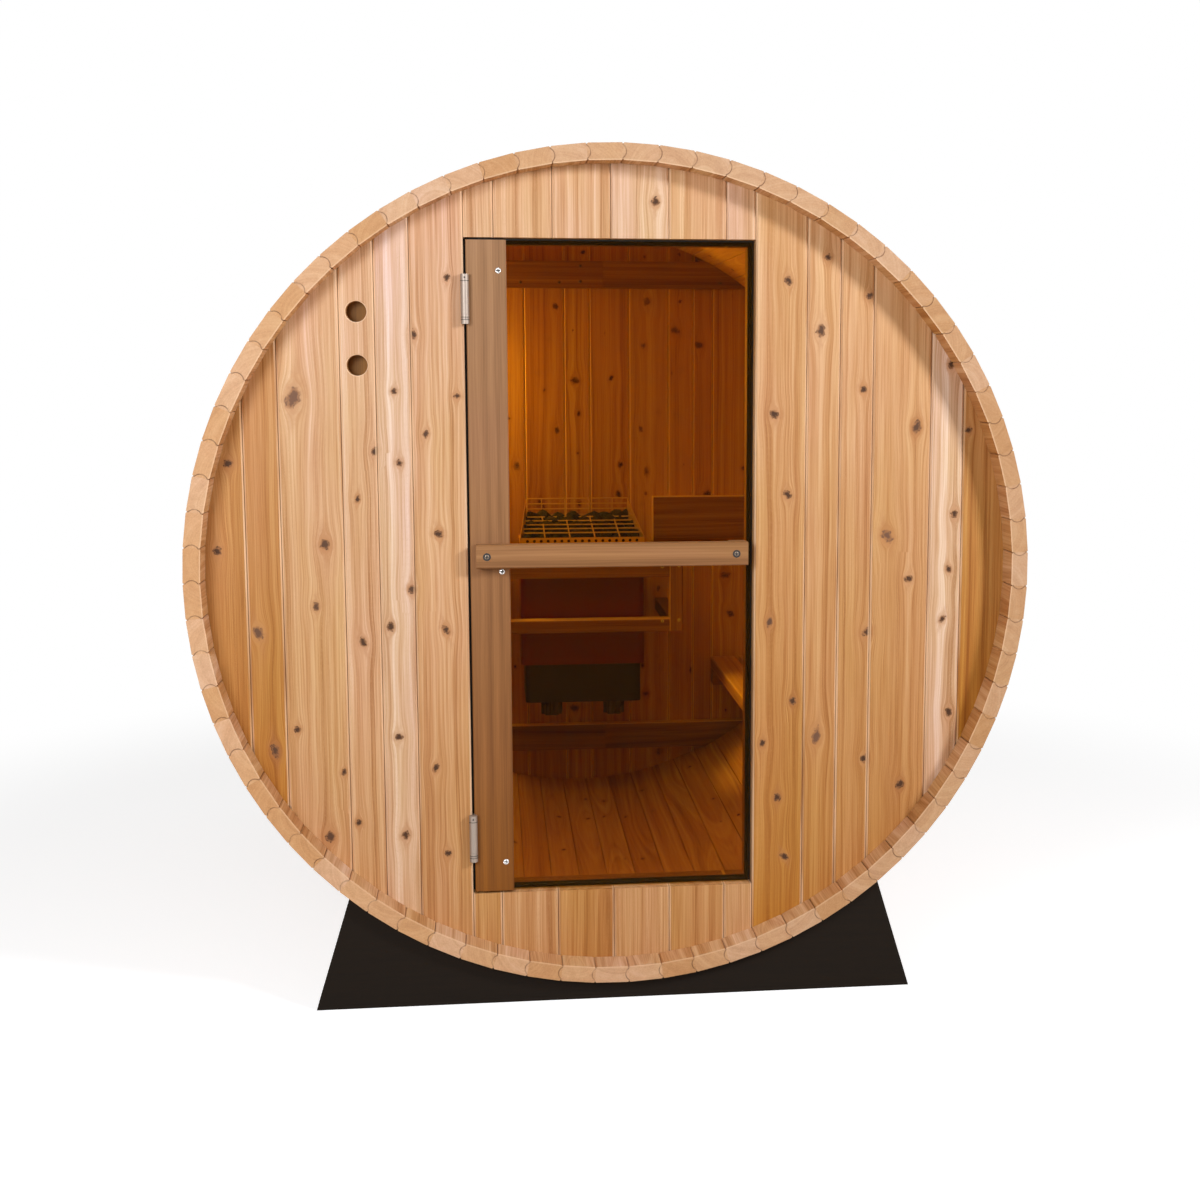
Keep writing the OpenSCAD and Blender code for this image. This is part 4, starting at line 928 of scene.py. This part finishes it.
def build_hinge_rings():
    """Thin dark rings of painted shade at the grooves of the fixed end knuckles of the spring hinges, and a
    dark disc of painted shade at the tension hole of each.
    """
    # Near-black material that paints the shade in the knuckles' grooves and tension holes
    dark = moulded_material("hinge_groove", (0.020, 0.016, 0.013), (0.060, 0.050, 0.042), 0.5, 900.0)
    joint = Vector(frame["record"]["behaviour"]["joints"][0]["pos_m"])
    low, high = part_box("frame_hinge_leaves")
    inner, outer = joint.y - low.y - MM, joint.y - low.y + GROOVE_PROUD
    groove = [(inner, -GROOVE_HALF), (outer, -GROOVE_HALF), (outer, GROOVE_HALF), (inner, GROOVE_HALF),
              (inner, -GROOVE_HALF)]
    hole = [(0, -HOLE_R), (HOLE_R, -HOLE_R), (HOLE_R, GROOVE_PROUD), (0, GROOVE_PROUD)]
    geometry = bmesh.new()
    for top in (high.z, low.z + HINGE_LEN):
        for share in GROOVE_SHARES:
            centre = Vector((joint.x, joint.y, top - share * HINGE_LEN))
            lathe(geometry, groove, centre, (0, 0, 1), 32)
        lathe(geometry, hole, Vector((joint.x, low.y, top - HOLE_SHARE * HINGE_LEN)), FORE, 16)
    bmesh.ops.remove_doubles(geometry, verts=geometry.verts[:], dist=0.01 * MM)
    piece("hinge_grooves", geometry, dark, "shell")


def build_stage():
    """White floor that keeps the shadow, white surroundings, and the lamps."""
    sh = Shader("floor_white")
    path = sh.node("LightPath").outputs
    direct = sh.math("MAXIMUM", path["Is Camera Ray"], path["Is Glossy Ray"])
    seen = sh.math("MAXIMUM", direct, path["Is Transmission Ray"])
    x, y = sh.place()[:2]
    colour = sh.mix(seen, rgba((0.60, 0.43, 0.24)), rgba((0.66, 0.66, 0.66)))
    diffuse = sh.node("BsdfDiffuse", {"Color": colour})
    glow = sh.node("Emission", {"Color": rgba((1.0, 1.0, 1.0)), "Strength": sh.mul(seen, FLOOR_GLOW)})
    near = sh.node("AddShader", {0: diffuse.outputs[0], 1: glow.outputs[0]})
    white = sh.node("Emission", {"Color": rgba((1.0, 1.0, 1.0)), "Strength": 1.0})
    away = sh.mul(seen, sh.step(sh.length(x, y), *FLOOR_FADE))
    material = sh.finish(sh.node("MixShader", {0: away, 1: near.outputs[0], 2: white.outputs[0]}))
    geometry = bmesh.new()
    bmesh.ops.create_grid(geometry, x_segments=1, y_segments=1, size=FLOOR_HALF)
    mesh = bpy.data.meshes.new("floor")
    geometry.to_mesh(mesh)
    geometry.free()
    floor = bpy.data.objects.new("floor", mesh)
    floor.location.z = cad_box[0].z - 0.5 * MM
    mesh.materials.append(material)
    bpy.context.scene.collection.objects.link(floor)

    world = bpy.data.worlds.new("surroundings")
    bpy.context.scene.world = world
    world.use_nodes = True
    links, tree = world.node_tree.links, world.node_tree.nodes
    background = tree["Background"]
    light_path = tree.new("ShaderNodeLightPath")
    total = light_path.outputs["Is Camera Ray"]
    for ray in ("Is Glossy Ray", "Is Transmission Ray"):
        either = tree.new("ShaderNodeMath")
        either.operation = "MAXIMUM"
        links.new(total, either.inputs[0])
        links.new(light_path.outputs[ray], either.inputs[1])
        total = either.outputs[0]
    strength = tree.new("ShaderNodeMapRange")
    strength.inputs["To Min"].default_value = SKY_LIGHT
    strength.inputs["To Max"].default_value = 1.0
    links.new(total, strength.inputs["Value"])
    links.new(strength.outputs[0], background.inputs["Strength"])
    background.inputs["Color"].default_value = rgba((1.0, 1.0, 1.0))

    day, amber, warm = (0.98, 0.99, 1.02), (1.0, 0.88, 0.60), (1.0, 0.94, 0.56)
    lamp("left_lamp", "AREA", 56.0, day, (-1.5, -3.4, 1.9), (0, -0.8, 1.2), 1.1)
    lamp("right_lamp", "AREA", 66.5, day, (2.3, -2.75, 2.35), (0, -0.8, 1.5), 0.5)
    lamp("cabin_lamp", "POINT", 8.9, amber, (-0.48, 0.67, AXIS_Z + 0.40), None, 0.05)
    lamp("cabin_fill", "AREA", 5.0, warm, (-0.10, -0.45, AXIS_Z + 0.76), (0, -0.35, 0), 0.4)
    lamp("bench_lamp", "SPOT", 95.0, warm, (-0.44, -0.40, 1.50), (0.48, 0.22, 0.47), 0.05, 20.0)
    lamp("ceiling_lamp", "SPOT", 24.0, warm, (-0.46, 0.30, 1.20), (0.50, 0.34, 1.68), 0.05, 34.0)


def lamp(name, kind, power, colour, place, target, size, cone=None):
    """Lamp at a place, aimed at a target; a spot has a cone in degrees."""
    data = bpy.data.lights.new(name, kind)
    data.energy = power
    data.color = colour
    if kind == "AREA":
        data.size = size
    else:
        data.shadow_soft_size = size
    if cone:
        data.spot_size = math.radians(cone)
        data.spot_blend = 0.7
    made = bpy.data.objects.new(name, data)
    made.location = place
    if target is not None:
        made.rotation_euler = (Vector(target) - Vector(place)).to_track_quat("-Z", "Y").to_euler()
    made.visible_camera = False
    bpy.context.scene.collection.objects.link(made)


def build_camera():
    """Camera of the photograph, fitted to the rim, the doorway and the cradle; focal length, image and centre
    are in pixels."""
    focal, image = 1598.9, 1200.0
    centre = (672.5, 572.8)
    yaw, pitch = 0.1127, -0.12813
    place = (-0.2673, -4.2989, AXIS_Z + 0.4493)
    data = bpy.data.cameras.new("camera")
    data.sensor_width = 36.0
    data.lens = data.sensor_width * focal / image
    data.shift_x = (image / 2 - centre[0]) / image
    data.shift_y = (centre[1] - image / 2) / image
    made = bpy.data.objects.new("camera", data)
    made.location = place
    look = Vector((math.sin(yaw) * math.cos(pitch), math.cos(yaw) * math.cos(pitch), math.sin(pitch)))
    made.rotation_euler = look.to_track_quat("-Z", "Y").to_euler()
    bpy.context.scene.collection.objects.link(made)
    bpy.context.scene.camera = made


build_camera()
build_walls()
slot_materials = build_materials()
build_stones(slot_materials["heater_stone"])
build_screws()
build_hinge_rings()
build_stage()
bpy.context.scene.view_settings.view_transform = "Standard"
